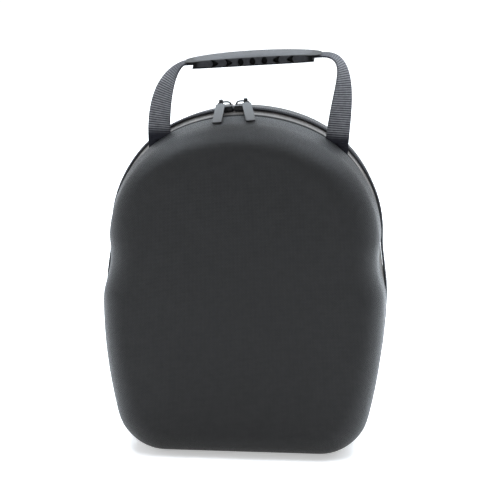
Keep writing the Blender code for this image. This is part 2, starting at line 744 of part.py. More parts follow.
def build_hinge(stations, finish):
    """Build the cloth strip that joins the shells along the flat bottom, between the zip's ends."""
    half_length = zip_stations(stations)[-1].x - 2.0 * SLIDING_GAP
    half_width = BAND_HALF_WIDTH + TAPE_FLANGE
    low = SHELL_WALL + SEAT_GAP
    high = low + HINGE_THICKNESS
    mesh = box_mesh("hinge_tape", (-half_length, -half_width, low), (half_length, half_width, high))
    return add_object("hinge_tape", mesh, finish)


def main():
    """Build every piece of the case."""
    clear_scene()
    shell_cloth = material("shell_cloth", (0.030, 0.030, 0.032), 0.75)
    tape_cloth = material("tape_cloth", (0.120, 0.115, 0.112), 0.85)
    coil_nylon = material("coil_nylon", (0.070, 0.068, 0.075), 0.50)
    slider_paint = material("slider_paint", (0.012, 0.012, 0.013), 0.30, 0.8)
    pull_paint = material("pull_paint", (0.320, 0.320, 0.325), 0.55, 0.3)
    webbing = material("webbing", (0.130, 0.130, 0.138), 0.80)
    grip_rubber = material("grip_rubber", (0.200, 0.200, 0.205), 0.60)
    stations = outline_stations()
    build_shell("front_shell", stations, -1, shell_cloth)
    build_shell("back_shell", stations, 1, shell_cloth)
    build_zip(stations, tape_cloth, coil_nylon)
    left_offset, right_offset = slider_centres()
    build_slider("slider_left", left_offset, 1, slider_paint)
    build_slider("slider_right", right_offset, -1, slider_paint)
    build_pull("pull_left", left_offset, -1, LEFT_PULL_SPLAY, pull_paint)
    build_pull("pull_right", right_offset, 1, RIGHT_PULL_SPLAY, pull_paint)
    build_strap(stations, webbing)
    build_grip(grip_rubber)
    build_hinge(stations, shell_cloth)


main()
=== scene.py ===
"""Travel case for a cap: two woven hard shells, a coil zip and a webbing handle with a moulded grip.

Metres, +Z up, front towards -Y. Each sub-assembly is a class that builds its meshes in the frame of the
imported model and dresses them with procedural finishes.
"""

import logging
import math
from dataclasses import dataclass, field
from enum import Enum
from typing import Optional, Sequence

import bmesh
import bpy
import numpy as np
from mathutils import Matrix, Vector


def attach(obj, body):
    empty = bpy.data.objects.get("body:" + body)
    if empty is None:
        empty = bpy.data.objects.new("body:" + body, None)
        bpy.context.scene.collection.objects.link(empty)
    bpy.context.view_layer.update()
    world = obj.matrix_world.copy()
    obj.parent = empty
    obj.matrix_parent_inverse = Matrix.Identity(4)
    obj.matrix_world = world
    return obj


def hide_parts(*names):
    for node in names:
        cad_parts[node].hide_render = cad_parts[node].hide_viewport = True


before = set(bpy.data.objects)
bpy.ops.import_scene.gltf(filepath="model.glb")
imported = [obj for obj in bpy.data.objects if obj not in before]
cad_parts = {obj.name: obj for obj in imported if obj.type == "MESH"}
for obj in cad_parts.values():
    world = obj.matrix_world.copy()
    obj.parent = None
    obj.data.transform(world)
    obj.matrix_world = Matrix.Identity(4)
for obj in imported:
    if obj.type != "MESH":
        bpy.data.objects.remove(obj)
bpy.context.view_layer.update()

LOG = logging.getLogger("travel_case")
SHARP_ANGLE = math.radians(38.0)
SEAT_GAP = 0.0003
SLIDING_GAP = 0.0005
EYE_GAP = 0.00026
LEFT_SPLAY = math.radians(-3.5)
RIGHT_SPLAY = math.radians(10.0)


class Side(Enum):
    """The front or the back of the case, with its direction along Y."""

    FRONT = -1
    BACK = 1


class Hand(Enum):
    """The left or the right of the case, with its direction along X."""

    LEFT = -1
    RIGHT = 1


# Small tools for curves and meshes


def smoothstep(share: np.ndarray) -> np.ndarray:
    """Ease each share from 0 to 1."""
    share = np.clip(share, 0.0, 1.0)
    return share * share * (3.0 - 2.0 * share)


def rounded_ring(count: int, half_a: float, half_b: float, power: float) -> np.ndarray:
    """Return a closed ring between an ellipse and a rectangle.

    Args:
        count: Number of points.
        half_a: Half of the first width.
        half_b: Half of the second width.
        power: 2 gives an ellipse, and more gives squarer corners.

    Returns:
        Points as an array of shape (count, 2).
    """
    angle = 2.0 * math.pi * (np.arange(count) + 0.5) / count
    first = np.sign(np.cos(angle)) * np.abs(np.cos(angle)) ** (2.0 / power)
    second = np.sign(np.sin(angle)) * np.abs(np.sin(angle)) ** (2.0 / power)
    return np.stack((half_a * first, half_b * second), axis=-1)


def smooth_loop(values: np.ndarray, reach: float) -> np.ndarray:
    """Smooth the values along a closed loop, and give back most of the shrinkage.

    Args:
        values: One row for each point of the loop.
        reach: Spread of the smoothing, in points.

    Returns:
        The smoothed values.
    """
    span = int(4.0 * reach)
    weights = np.exp(-0.5 * (np.arange(-span, span + 1) / reach) ** 2)
    weights /= weights.sum()

    def blur(rows: np.ndarray) -> np.ndarray:
        """Blur each column of the loop."""
        padded = np.concatenate((rows[-span:], rows, rows[:span]))
        return np.stack([np.convolve(column, weights, "valid") for column in padded.T], axis=-1)

    table = values.reshape(len(values), -1)
    once = blur(table)
    return (once + blur(table - once)).reshape(values.shape)


class MeshSketch:
    """Collects grids of points, with their texture places and finishes, into one mesh."""

    def __init__(self) -> None:
        """Start with nothing."""
        self.points: list = []
        self.faces: list = []
        self.places: list = []
        self.slots: list = []
        self.count = 0

    def add(self, rows: np.ndarray, places: Optional[np.ndarray] = None, ring: bool = True,
            loop: bool = False, caps: bool = False, slot: int = 0) -> None:
        """Add a grid of quads.

        Args:
            rows: Points of shape (rows, columns, 3).
            places: Texture places of shape (rows, columns, 2), with a column more if ring is true.
            ring: Whether each row closes on itself.
            loop: Whether the last row joins the first.
            caps: Whether the first and last row are each filled with a face.
            slot: The finish of its faces.
        """
        height, width = rows.shape[:2]
        if places is None:
            places = np.zeros((height, width + int(ring), 2))
        down = np.arange(height if loop else height - 1)
        across = np.arange(width if ring else width - 1)
        i, j = (part.ravel() for part in np.meshgrid(down, across, indexing="ij"))
        i_next, j_next = (i + 1) % height, (j + 1) % width
        quads = np.stack((i * width + j, i * width + j_next,
                          i_next * width + j_next, i_next * width + j), axis=-1)
        texture = np.stack((places[i, j], places[i, j + 1 if ring else j_next],
                            places[i_next, j + 1 if ring else j_next], places[i_next, j]), axis=1)
        self.faces += (quads + self.count).tolist()
        self.places.append(texture.reshape(-1, 2))
        self.slots += [slot] * len(quads)
        if caps:
            for row in (0, height - 1):
                self.faces.append((np.arange(width) + row * width + self.count).tolist())
                self.places.append(places[row, :width])
                self.slots.append(slot)
        self.points.append(rows.reshape(-1, 3))
        self.count += height * width

    def finish(self, name: str, finishes: Sequence[bpy.types.Material],
               place: Optional[Matrix] = None) -> bpy.types.Object:
        """Make the mesh and its object.

        Args:
            name: The piece's name.
            finishes: Materials, in the order of the slots.
            place: Where the points' own frame lies, if it isn't the case's frame.

        Returns:
            The new object, at the origin, with faces turned outward.
        """
        mesh = bpy.data.meshes.new(name)
        mesh.from_pydata(np.concatenate(self.points).tolist(), [], self.faces)
        layer = mesh.uv_layers.new(name="weave")
        layer.data.foreach_set("uv", np.concatenate(self.places).astype(np.float32).ravel())
        mesh.polygons.foreach_set("material_index", self.slots)
        if place is not None:
            mesh.transform(place)
        work = bmesh.new()
        work.from_mesh(mesh)
        bmesh.ops.recalc_face_normals(work, faces=work.faces)
        work.to_mesh(mesh)
        work.free()
        mesh.shade_smooth()
        mesh.set_sharp_from_angle(angle=SHARP_ANGLE)
        for finish in finishes:
            mesh.materials.append(finish)
        piece = bpy.data.objects.new(name, mesh)
        bpy.context.scene.collection.objects.link(piece)
        return piece


def boolean_cut(piece: bpy.types.Object, cutters: Sequence[bpy.types.Object]) -> None:
    """Cut a piece with other shapes, and delete those shapes.

    Args:
        piece: The piece to cut.
        cutters: Closed shapes that are taken away from it.
    """
    for cutter in cutters:
        step = piece.modifiers.new("cut", "BOOLEAN")
        step.operation = "DIFFERENCE"
        step.solver = "EXACT"
        step.object = cutter
    apply_modifiers(piece)
    for cutter in cutters:
        bpy.data.objects.remove(cutter, do_unlink=True)


def apply_modifiers(piece: bpy.types.Object) -> None:
    """Replace a piece's mesh by what its modifiers make of it."""
    view = bpy.context.evaluated_depsgraph_get()
    shaped = bpy.data.meshes.new_from_object(piece.evaluated_get(view), depsgraph=view)
    piece.modifiers.clear()
    old = piece.data
    piece.data = shaped
    bpy.data.meshes.remove(old)


def tube_grid(centres: np.ndarray, normals: np.ndarray, binormals: np.ndarray,
              section: np.ndarray) -> np.ndarray:
    """Sweep a section along a path.

    Args:
        centres: Points of the path, shape (rows, 3).
        normals: The section's first direction at each point.
        binormals: The section's second direction at each point.
        section: Points of the section, shape (columns, 2).

    Returns:
        Points of shape (rows, columns, 3).
    """
    return (centres[:, None, :] + normals[:, None, :] * section[None, :, :1]
            + binormals[:, None, :] * section[None, :, 1:])


# Shader graphs


class Graph:
    """Adds nodes to one node tree and links them."""

    def __init__(self, tree: bpy.types.NodeTree) -> None:
        """Work on a tree."""
        self.tree = tree

    def node(self, kind: str, **settings: object) -> bpy.types.Node:
        """Add a node and set its properties."""
        made = self.tree.nodes.new(kind)
        for name, value in settings.items():
            setattr(made, name, value)
        return made

    def feed(self, socket: bpy.types.NodeSocket, value: object) -> None:
        """Link a socket to another one, or set its value."""
        if isinstance(value, bpy.types.NodeSocket):
            self.tree.links.new(value, socket)
        elif value is not None:
            socket.default_value = value

    def math(self, operation: str, *values: object) -> bpy.types.NodeSocket:
        """Add a Math node.

        Args:
            operation: What it works out.
            values: Sockets or numbers for its inputs.

        Returns:
            The result's socket.
        """
        made = self.node("ShaderNodeMath", operation=operation)
        for socket, value in zip(made.inputs, values):
            self.feed(socket, value)
        return made.outputs[0]

    def mix(self, factor: object, first: object, second: object) -> bpy.types.NodeSocket:
        """Mix two colours and return the result's socket."""
        made = self.node("ShaderNodeMix", data_type="RGBA")
        self.feed(made.inputs["Factor"], factor)
        for socket, value in ((made.inputs["A"], first), (made.inputs["B"], second)):
            colours = [item for item in made.inputs if item.name == socket.name and item.type == "RGBA"]
            self.feed(colours[0], (*value, 1.0) if isinstance(value, tuple) and len(value) == 3 else value)
        return [item for item in made.outputs if item.type == "RGBA"][0]

    def between(self, value: object, low: float, high: float, start: float = 0.0,
                end: float = 1.0) -> bpy.types.NodeSocket:
        """Map a value from one range to another, on a smooth curve.

        Args:
            value: The socket or number to map.
            low: Where the old range starts.
            high: Where it ends.
            start: What the new range starts at.
            end: What it ends at.

        Returns:
            The result's socket.
        """
        made = self.node("ShaderNodeMapRange", interpolation_type="SMOOTHSTEP")
        for socket, item in zip(made.inputs, (value, low, high, start, end)):
            self.feed(socket, item)
        return made.outputs[0]

    def placed(self, group: bpy.types.NodeTree, **values: object) -> bpy.types.Node:
        """Place a node group and feed its named inputs, with spaces written as underscores."""
        made = self.node("ShaderNodeGroup", node_tree=group)
        for name, value in values.items():
            self.feed(made.inputs[name.replace("_", " ")], value)
        return made


def new_group(name: str, inputs: dict, outputs: Sequence[str]) -> tuple:
    """Start a shader node group.

    Args:
        name: The group's name.
        inputs: Names of its inputs with their first values; None stands for a vector.
        outputs: Names of its outputs, which are all plain values.

    Returns:
        The group's tree, its graph, its input node and its output node.
    """
    tree = bpy.data.node_groups.new(name, "ShaderNodeTree")
    for title, value in inputs.items():
        kind = "NodeSocketVector" if value is None else "NodeSocketFloat"
        socket = tree.interface.new_socket(title, in_out="INPUT", socket_type=kind)
        if value is not None:
            socket.default_value = value
    for title in outputs:
        tree.interface.new_socket(title, in_out="OUTPUT", socket_type="NodeSocketFloat")
    graph = Graph(tree)
    return tree, graph, graph.node("NodeGroupInput"), graph.node("NodeGroupOutput")


class SharedEffects:
    """The node groups that several finishes place with their own values."""

    def __init__(self) -> None:
        """Build every group once."""
        self.weave = self.build_weave()
        self.grain = self.build_grain()
        self.dust = self.build_dust_and_top_light()

    def build_weave(self) -> bpy.types.NodeTree:
        """Build a plain weave of round threads.

        Returns:
            The group, with the outputs Height and Thread, which is 1 on one set of threads and 0 on
            the other.
        """
        tree, graph, start, end = new_group(
            "plain_weave", {"Place": None, "Warp Pitch": 0.001, "Weft Pitch": 0.001}, ("Height", "Thread"))
        split = graph.node("ShaderNodeSeparateXYZ")
        graph.feed(split.inputs[0], start.outputs["Place"])
        across = graph.math("DIVIDE", split.outputs[0], start.outputs["Warp Pitch"])
        along = graph.math("DIVIDE", split.outputs[1], start.outputs["Weft Pitch"])
        ridges = [graph.math("ABSOLUTE", graph.math("SINE", graph.math("MULTIPLY", value, math.pi)))
                  for value in (across, along)]
        cells = [graph.math("FLOOR", value) for value in (across, along)]
        checker = graph.math("FLOORED_MODULO", graph.math("ADD", *cells), 2.0)
        other = graph.math("SUBTRACT", 1.0, checker)
        up = graph.math("MULTIPLY", graph.math("MULTIPLY", ridges[0], checker),
                        graph.math("ADD", graph.math("MULTIPLY", ridges[1], 0.5), 0.5))
        over = graph.math("MULTIPLY", graph.math("MULTIPLY", ridges[1], other),
                          graph.math("ADD", graph.math("MULTIPLY", ridges[0], 0.5), 0.5))
        graph.feed(end.inputs["Height"], graph.math("ADD", up, over))
        graph.feed(end.inputs["Thread"], checker)
        return tree

    def build_grain(self) -> bpy.types.NodeTree:
        """Build a two-sized noise.

        Returns:
            The group, with the outputs Coarse and Fine, both about 0.5 on average.
        """
        tree, graph, start, end = new_group(
            "surface_grain", {"Place": None, "Scale": 100.0}, ("Coarse", "Fine"))
        for title, share, detail in (("Coarse", 0.12, 2.0), ("Fine", 1.0, 3.0)):
            noise = graph.node("ShaderNodeTexNoise")
            graph.feed(noise.inputs["Vector"], start.outputs["Place"])
            graph.feed(noise.inputs["Scale"], graph.math("MULTIPLY", start.outputs["Scale"], share))
            graph.feed(noise.inputs["Detail"], detail)
            graph.feed(end.inputs[title], noise.outputs[0])
        return tree

    def build_dust_and_top_light(self) -> bpy.types.NodeTree:
        """Build a patchy pale dusting on faces that look up, which also paints light on tops lit from
        above.

        Returns:
            The group, with the output Dust from 0 to the input Amount.
        """
        tree, graph, start, end = new_group("settled_dust_and_top_light", {"Grain": 0.5, "Amount": 0.2}, ("Dust",))
        shape = graph.node("ShaderNodeNewGeometry")
        split = graph.node("ShaderNodeSeparateXYZ")
        graph.feed(split.inputs[0], shape.outputs["Normal"])
        facing = graph.between(split.outputs[2], 0.25, 1.0)
        patchy = graph.between(start.outputs["Grain"], 0.35, 0.7, 0.4, 1.0)
        graph.feed(end.inputs["Dust"], graph.math(
            "MULTIPLY", graph.math("MULTIPLY", facing, patchy), start.outputs["Amount"]))
        return tree


# Pale colour on upward faces: a settled dusting, and painted light on tops lit from above.
DUST_AND_TOP_LIGHT_COLOUR = (0.30, 0.29, 0.28)
DEEP_SHADE = (0.003, 0.003, 0.003)
NOISE_SPREAD = (0.3, 0.7)
ROUGHNESS_SWING = 0.05
GRAIN_RELIEF = 0.0001


@dataclass(frozen=True)
class Finish:
    """A finish: its name, colour and how it shines."""

    name: str
    colour: tuple
    roughness: float
    metallic: float = 0.0
    specular: float = 0.5
    sheen: float = 0.0
    sheen_tint: tuple = (1.0, 1.0, 1.0)
    coat: float = 0.0
    coat_roughness: float = 0.1
    grain_scale: float = 900.0
    grain_bump: float = 0.1
    unevenness: float = 0.15
    # Share of the pale upward layer: a settled dusting, and painted light on tops lit from above.
    dust: float = 0.0
    glow: float = 0.0

    def start(self, effects: SharedEffects) -> tuple:
        """Make the material with its constant values.

        Args:
            effects: The shared node groups.

        Returns:
            The material, its graph, its shader node and the placed grain group.
        """
        made = bpy.data.materials.new(self.name)
        made.use_nodes = True
        graph = Graph(made.node_tree)
        shader = made.node_tree.nodes["Principled BSDF"]
        shader.inputs["Metallic"].default_value = self.metallic
        shader.inputs["Specular IOR Level"].default_value = self.specular
        shader.inputs["Sheen Weight"].default_value = self.sheen
        shader.inputs["Sheen Roughness"].default_value = 0.4
        shader.inputs["Sheen Tint"].default_value = (*self.sheen_tint, 1.0)
        shader.inputs["Coat Weight"].default_value = self.coat
        shader.inputs["Coat Roughness"].default_value = self.coat_roughness
        if self.glow > 0.0:
            shader.inputs["Emission Color"].default_value = (1.0, 1.0, 1.0, 1.0)
            shader.inputs["Emission Strength"].default_value = self.glow
        place = graph.node("ShaderNodeTexCoord").outputs["Object"]
        grain = graph.placed(effects.grain, Place=place, Scale=self.grain_scale)
        return made, graph, shader, grain

    def dress(self, graph: Graph, shader: bpy.types.Node, grain: bpy.types.Node, effects: SharedEffects,
              colour: object, height: object, distance: float) -> None:
        """Feed the shader with colour, roughness and relief.

        Args:
            graph: The material's graph.
            shader: Its shader node.
            grain: The placed grain group.
            effects: The shared node groups.
            colour: Socket or value of the colour before it is made uneven.
            height: Socket of the relief.
            distance: How high the relief is, in metres.
        """
        shade = graph.between(grain.outputs["Coarse"], *NOISE_SPREAD,
                              1.0 - self.unevenness, 1.0 + self.unevenness)
        scaled = graph.node("ShaderNodeVectorMath", operation="SCALE")
        graph.feed(scaled.inputs[0], colour[:3] if isinstance(colour, tuple) else colour)
        graph.feed(scaled.inputs["Scale"], shade)
        # Upward faces take a patchy pale layer: a settled dusting, and painted light on tops lit from
        # above.
        layer = graph.placed(effects.dust, Grain=grain.outputs["Fine"], Amount=self.dust)
        dusted_and_top_lit = graph.mix(layer.outputs["Dust"], scaled.outputs[0], DUST_AND_TOP_LIGHT_COLOUR)
        graph.feed(shader.inputs["Base Color"], dusted_and_top_lit)
        rough = graph.between(grain.outputs["Fine"], *NOISE_SPREAD,
                              self.roughness - ROUGHNESS_SWING, self.roughness + ROUGHNESS_SWING)
        graph.feed(shader.inputs["Roughness"], rough)
        bump = graph.node("ShaderNodeBump")
        bump.inputs["Strength"].default_value = 1.0
        bump.inputs["Distance"].default_value = distance
        graph.feed(bump.inputs["Height"], height)
        graph.feed(shader.inputs["Normal"], bump.outputs["Normal"])

    def material(self, effects: SharedEffects) -> bpy.types.Material:
        """Return the plain finish with a fine grain."""
        made, graph, shader, grain = self.start(effects)
        self.dress(graph, shader, grain, effects, self.colour, grain.outputs["Fine"],
                   GRAIN_RELIEF * self.grain_bump)
        return made


@dataclass(frozen=True)
class WovenFinish(Finish):
    """A cloth of two sets of threads, one a little lighter than the other."""

    warp_pitch: float = 0.0011
    weft_pitch: float = 0.0011
    light_thread: tuple = (0.05, 0.05, 0.052)
    relief: float = 0.00022
    shadow_start: float = 1.0
    shadow_width: float = 0.0006

    def material(self, effects: SharedEffects) -> bpy.types.Material:
        """Return the woven finish, whose threads follow the texture places."""
        made, graph, shader, grain = self.start(effects)
        place = graph.node("ShaderNodeUVMap", uv_map="weave")
        weave = graph.placed(effects.weave, Place=place.outputs[0], Warp_Pitch=self.warp_pitch,
                             Weft_Pitch=self.weft_pitch)
        raised = graph.between(weave.outputs["Height"], 0.1, 0.9)
        lit = graph.math("MULTIPLY", raised, graph.between(weave.outputs["Thread"], 0.0, 1.0, 0.55, 1.0))
        colour = graph.mix(lit, self.colour, self.light_thread)
        if self.shadow_start < 1.0:
            split = graph.node("ShaderNodeSeparateXYZ")
            graph.feed(split.inputs[0], place.outputs[0])
            deep = graph.between(split.outputs[0], self.shadow_start, self.shadow_start + self.shadow_width)
            colour = graph.mix(deep, colour, DEEP_SHADE)
        height = graph.math("ADD", weave.outputs["Height"],
                            graph.math("MULTIPLY", grain.outputs["Fine"], self.grain_bump))
        self.dress(graph, shader, grain, effects, colour, height, self.relief)
        return made


@dataclass(frozen=True)
class WebbingFinish(Finish):
    """Webbing with painted shade towards its sewn roots, where it enters the grip, and between its ribs."""

    # Colour of the painted shade at the roots, at the grip and in the valleys between the ribs.
    dark: tuple = (0.006, 0.006, 0.010)
    root_shade_reach: float = 0.012
    grip_shade_reach: float = 0.022
    rib_pitch: float = 0.0019

    def material(self, effects: SharedEffects) -> bpy.types.Material:
        """Return the finish, which reads its distances to the seam and to the grip as texture places for
        its painted shade.
        """
        made, graph, shader, grain = self.start(effects)
        split = graph.node("ShaderNodeSeparateXYZ")
        graph.feed(split.inputs[0], graph.node("ShaderNodeUVMap", uv_map="weave").outputs[0])
        # Painted shade near the sewn roots and where the webbing enters the grip.
        root = graph.between(split.outputs[0], 0.002, self.root_shade_reach)
        grip = graph.between(split.outputs[1], 0.003, self.grip_shade_reach)
        # Painted shade in the valleys between the ribs, in step with the ribs of the mesh.
        turn = graph.math("MULTIPLY", split.outputs[0], math.pi / self.rib_pitch)
        crest = graph.between(graph.math("ABSOLUTE", graph.math("SINE", turn)), 0.25, 0.85, 0.02, 1.0)
        lit = graph.math("MULTIPLY", graph.math("MULTIPLY", root, grip), crest)
        colour = graph.mix(lit, self.dark, self.colour)
        self.dress(graph, shader, grain, effects, colour, grain.outputs["Fine"],
                   GRAIN_RELIEF * self.grain_bump)
        return made


@dataclass(frozen=True)
class MouldedFinish(Finish):
    """Moulded rubber with painted shade inside its pockets and channel."""

    # Colour of the painted shade inside the pockets and the channel.
    dark: tuple = (0.001, 0.001, 0.001)
    centre: tuple = (0.0, 0.0, 0.0)
    tilt: float = 0.0
    pocket_floor: float = 0.0134
    pocket_half: float = 0.0034

    def material(self, effects: SharedEffects) -> bpy.types.Material:
        """Return the finish, with painted shade where a point lies behind the side faces and near the
        middle height.
        """
        made, graph, shader, grain = self.start(effects)
        mapping = graph.node("ShaderNodeMapping", vector_type="TEXTURE")
        graph.feed(mapping.inputs["Vector"], graph.node("ShaderNodeTexCoord").outputs["Object"])
        mapping.inputs["Location"].default_value = self.centre
        mapping.inputs["Rotation"].default_value = (0.0, self.tilt, 0.0)
        split = graph.node("ShaderNodeSeparateXYZ")
        graph.feed(split.inputs[0], mapping.outputs[0])
        # Painted shade: points behind the side faces and near the middle height take the dark colour.
        behind = graph.between(graph.math("ABSOLUTE", split.outputs[1]), self.pocket_floor,
                               self.pocket_floor + 0.0004, 1.0, 0.0)
        level = graph.between(graph.math("ABSOLUTE", split.outputs[2]), self.pocket_half - 0.0002,
                              self.pocket_half + 0.0002, 1.0, 0.0)
        colour = graph.mix(graph.math("MULTIPLY", behind, level), self.colour, self.dark)
        self.dress(graph, shader, grain, effects, colour, grain.outputs["Fine"],
                   GRAIN_RELIEF * self.grain_bump)
        return made


# The case's outline, which the shells and the zip share


@dataclass
class Stations:
    """Places along the outline, each with its outward direction and its section's sizes."""

    x: np.ndarray
    z: np.ndarray
    out_x: np.ndarray
    out_z: np.ndarray
    length: np.ndarray
    rim: np.ndarray
    fillet: np.ndarray
    draft: np.ndarray
    crest: np.ndarray

    def at(self, out: object, depth: object) -> np.ndarray:
        """Return the points that lie out from the outline, at a depth along Y."""
        depths = np.broadcast_to(depth, self.x.shape)
        return np.stack((self.x + out * self.out_x, depths, self.z + out * self.out_z), axis=-1)


@dataclass
class CaseOutline:
    """The rounded outline, seen from the front, and the table of its sections."""

    height: float = 0.2908
    shoulder_half_width: float = 0.1152
    widest_half_width: float = 0.1205
    widest_height: float = 0.134
    crown_radius: float = 0.140
    crown_sweep: float = math.radians(20.9)
    lower_side_radius: float = 0.441
    corner_radius: float = 0.043
    waist_height: float = 0.166
    waist_pinch: float = 0.0026
    waist_reach: float = 0.028
    band_half_width: float = 0.016
    groove_depth: float = 0.0022
    groove_width: float = 0.0010
    coil_crest: float = 0.0045
    coil_height: float = 0.0022
    edge_fillet: float = 0.033
    wall_draft: float = 0.005
    step: float = 0.0005
    ease: float = 0.005
    zip_end: float = 0.05579
    columns: tuple = ("share", "fillet", "draft", "crest")
    sections: tuple = (
        (0.00, 0.58, 0.80, 1.00),
        (0.15, 0.70, 0.85, 0.90),
        (0.27, 1.00, 0.80, 0.50),
        (0.44, 0.72, 0.55, 0.30),
        (0.53, 0.66, 0.50, 0.25),
        (0.70, 0.78, 0.45, 0.20),
        (0.78, 0.90, 0.35, -0.05),
        (0.85, 0.80, 0.00, -0.28),
        (1.00, 0.76, 0.00, -0.28),
    )
    table: dict = field(default_factory=dict)
    perimeter: float = 0.0

    def __post_init__(self) -> None:
        """Work out the dense outline once."""
        half = self.half()
        whole = np.concatenate((half, (half * (-1.0, 1.0))[-2:0:-1]))
        closed = np.concatenate((whole, whole[:1]))
        gaps = np.hypot(*np.diff(closed, axis=0).T)
        lengths = np.concatenate(([0.0], np.cumsum(gaps)))
        count = int(lengths[-1] / self.step) // 2 * 2
        spots = np.arange(count) / count * lengths[-1]
        points = np.stack([np.interp(spots, lengths, column) for column in closed.T], axis=-1)
        share = np.minimum(spots, lengths[-1] - spots) / (lengths[-1] / 2.0)
        self.perimeter = lengths[-1]
        reach = self.ease / self.step
        points = smooth_loop(points, reach)
        along = np.roll(points, -1, axis=0) - np.roll(points, 1, axis=0)
        along /= np.hypot(*along.T)[:, None]
        bell = np.clip(1.0 - ((points[:, 1] - self.waist_height) / self.waist_reach) ** 2, 0.0, None) ** 2
        self.table = {
            "length": spots,
            "x": points[:, 0],
            "z": points[:, 1],
            "out_x": -along[:, 1],
            "out_z": along[:, 0],
            "rim": -self.waist_pinch * bell,
            "fillet": self.edge_fillet * smooth_loop(self.section(share, "fillet"), 2.0 * reach),
            "draft": self.wall_draft * smooth_loop(self.section(share, "draft"), 2.0 * reach),
            "crest": self.coil_crest * smooth_loop(self.section(share, "crest"), 2.0 * reach),
        }
        outward = (self.table["out_x"] * points[:, 0]
                   + self.table["out_z"] * (points[:, 1] - self.height / 2.0))
        if outward.mean() < 0.0:
            self.table["out_x"] = -self.table["out_x"]
            self.table["out_z"] = -self.table["out_z"]

    def section(self, share: np.ndarray, column: str) -> np.ndarray:
        """Read a column of the section table on a smooth curve that keeps its highs and lows.

        Args:
            share: Shares of the half outline, from the top centre to the bottom centre.
            column: The column's name.

        Returns:
            The value at each share.
        """
        rows = np.array(self.sections)
        places, values = rows[:, 0], rows[:, self.columns.index(column)]
        slopes = np.diff(values) / np.diff(places)
        left, right = slopes[:-1], slopes[1:]
        level = left * right <= 0.0
        inner = np.where(level, 0.0, 2.0 * left * right / np.where(level, 1.0, left + right))
        knots = np.concatenate(([0.0], inner, [0.0]))
        index = np.clip(np.searchsorted(places, share) - 1, 0, len(places) - 2)
        span = places[index + 1] - places[index]
        t = (share - places[index]) / span
        rise = 2 * t ** 3 - 3 * t ** 2 + 1
        return (rise * values[index] + (1.0 - rise) * values[index + 1]
                + (t ** 3 - 2 * t ** 2 + t) * span * knots[index]
                + (t ** 3 - t ** 2) * span * knots[index + 1])

    def shoulder_arc(self) -> tuple:
        """Return the centre and radius of the arc between the crown and the flaring side."""
        sine = math.sin(self.crown_sweep)
        radius = (self.shoulder_half_width - self.crown_radius * sine) / (1.0 - sine)
        spare = self.crown_radius - radius
        centre = (spare * sine, self.height - self.crown_radius + spare * math.cos(self.crown_sweep))
        return centre, radius

    def half(self) -> np.ndarray:
        """Return dense points of the outline's right half, from the top centre to the bottom centre."""
        quarter = math.pi / 2.0

        def arc(centre: Sequence[float], radius: float, start: float, end: float) -> np.ndarray:
            """Return the points of an arc without its first one."""
            count = max(4, int(abs(end - start) * radius / self.step))
            angle = start + (end - start) * (np.arange(count) + 1.0) / count
            return np.stack((centre[0] + radius * np.cos(angle),
                             centre[1] + radius * np.sin(angle)), axis=-1)

        centre, radius = self.shoulder_arc()
        turned = quarter - self.crown_sweep
        flare = np.linspace(0.0, 1.0, 120)[1:]
        spread = self.widest_half_width - self.shoulder_half_width
        width = self.shoulder_half_width + smoothstep(flare) * spread
        lower = (self.widest_half_width - self.lower_side_radius, self.widest_height)
        between = self.lower_side_radius - self.corner_radius
        turn = math.asin((self.widest_height - self.corner_radius) / between)
        corner = (lower[0] + between * math.cos(turn), self.corner_radius)
        floor = np.linspace(corner[0], 0.0, 140)[1:]
        return np.concatenate((
            [(0.0, self.height)],
            arc((0.0, self.height - self.crown_radius), self.crown_radius, quarter, turned),
            arc(centre, radius, turned, 0.0),
            np.stack((width, centre[1] + flare * (self.widest_height - centre[1])), axis=-1),
            arc(lower, self.lower_side_radius, 0.0, -turn),
            arc(corner, self.corner_radius, -turn, -quarter),
            np.stack((floor, np.zeros_like(floor)), axis=-1),
        ))

    def stations(self, lengths: np.ndarray) -> Stations:
        """Return the stations at lengths along the outline, clockwise from the top centre."""
        spots = np.mod(lengths, self.perimeter)
        values = {name: np.interp(spots, self.table["length"], column, period=self.perimeter)
                  for name, column in self.table.items() if name != "length"}
        return Stations(length=lengths, **values)

    def all_round(self, spacing: float) -> Stations:
        """Return stations round the whole outline at about the given spacing."""
        count = int(self.perimeter / spacing)
        return self.stations(np.arange(count) / count * self.perimeter)

    def zip_reach(self) -> float:
        """Return how far along the outline each end of the zip lies from the top centre."""
        return self.perimeter / 2.0 - self.zip_end

    def along_zip(self, spacing: float) -> Stations:
        """Return stations from the zip's left end over the top to its right end."""
        reach = self.zip_reach()
        return self.stations(np.linspace(-reach, reach, int(2.0 * reach / spacing) + 1))

    def tape_height(self, stations: Stations, depth: object) -> np.ndarray:
        """Return how far out the tape's outer face lies at a distance from the middle of the band."""
        start = self.band_half_width - self.groove_width
        crest = stations.crest - self.coil_height - SEAT_GAP
        floor = stations.rim - self.groove_depth
        return crest + (floor - crest) * (depth - SEAT_GAP) / (start - SEAT_GAP)

    def crown_place(self, offset: float) -> Matrix:
        """Return the frame on the coil's crest at a distance along the crown: x along it, z out of it."""
        angle = offset / self.crown_radius
        reach = self.crown_radius + self.coil_crest
        middle = self.height - self.crown_radius
        place = Matrix.Translation((reach * math.sin(angle), 0.0, middle + reach * math.cos(angle)))
        return place @ Matrix.Rotation(angle, 4, "Y")


# Sub-assemblies


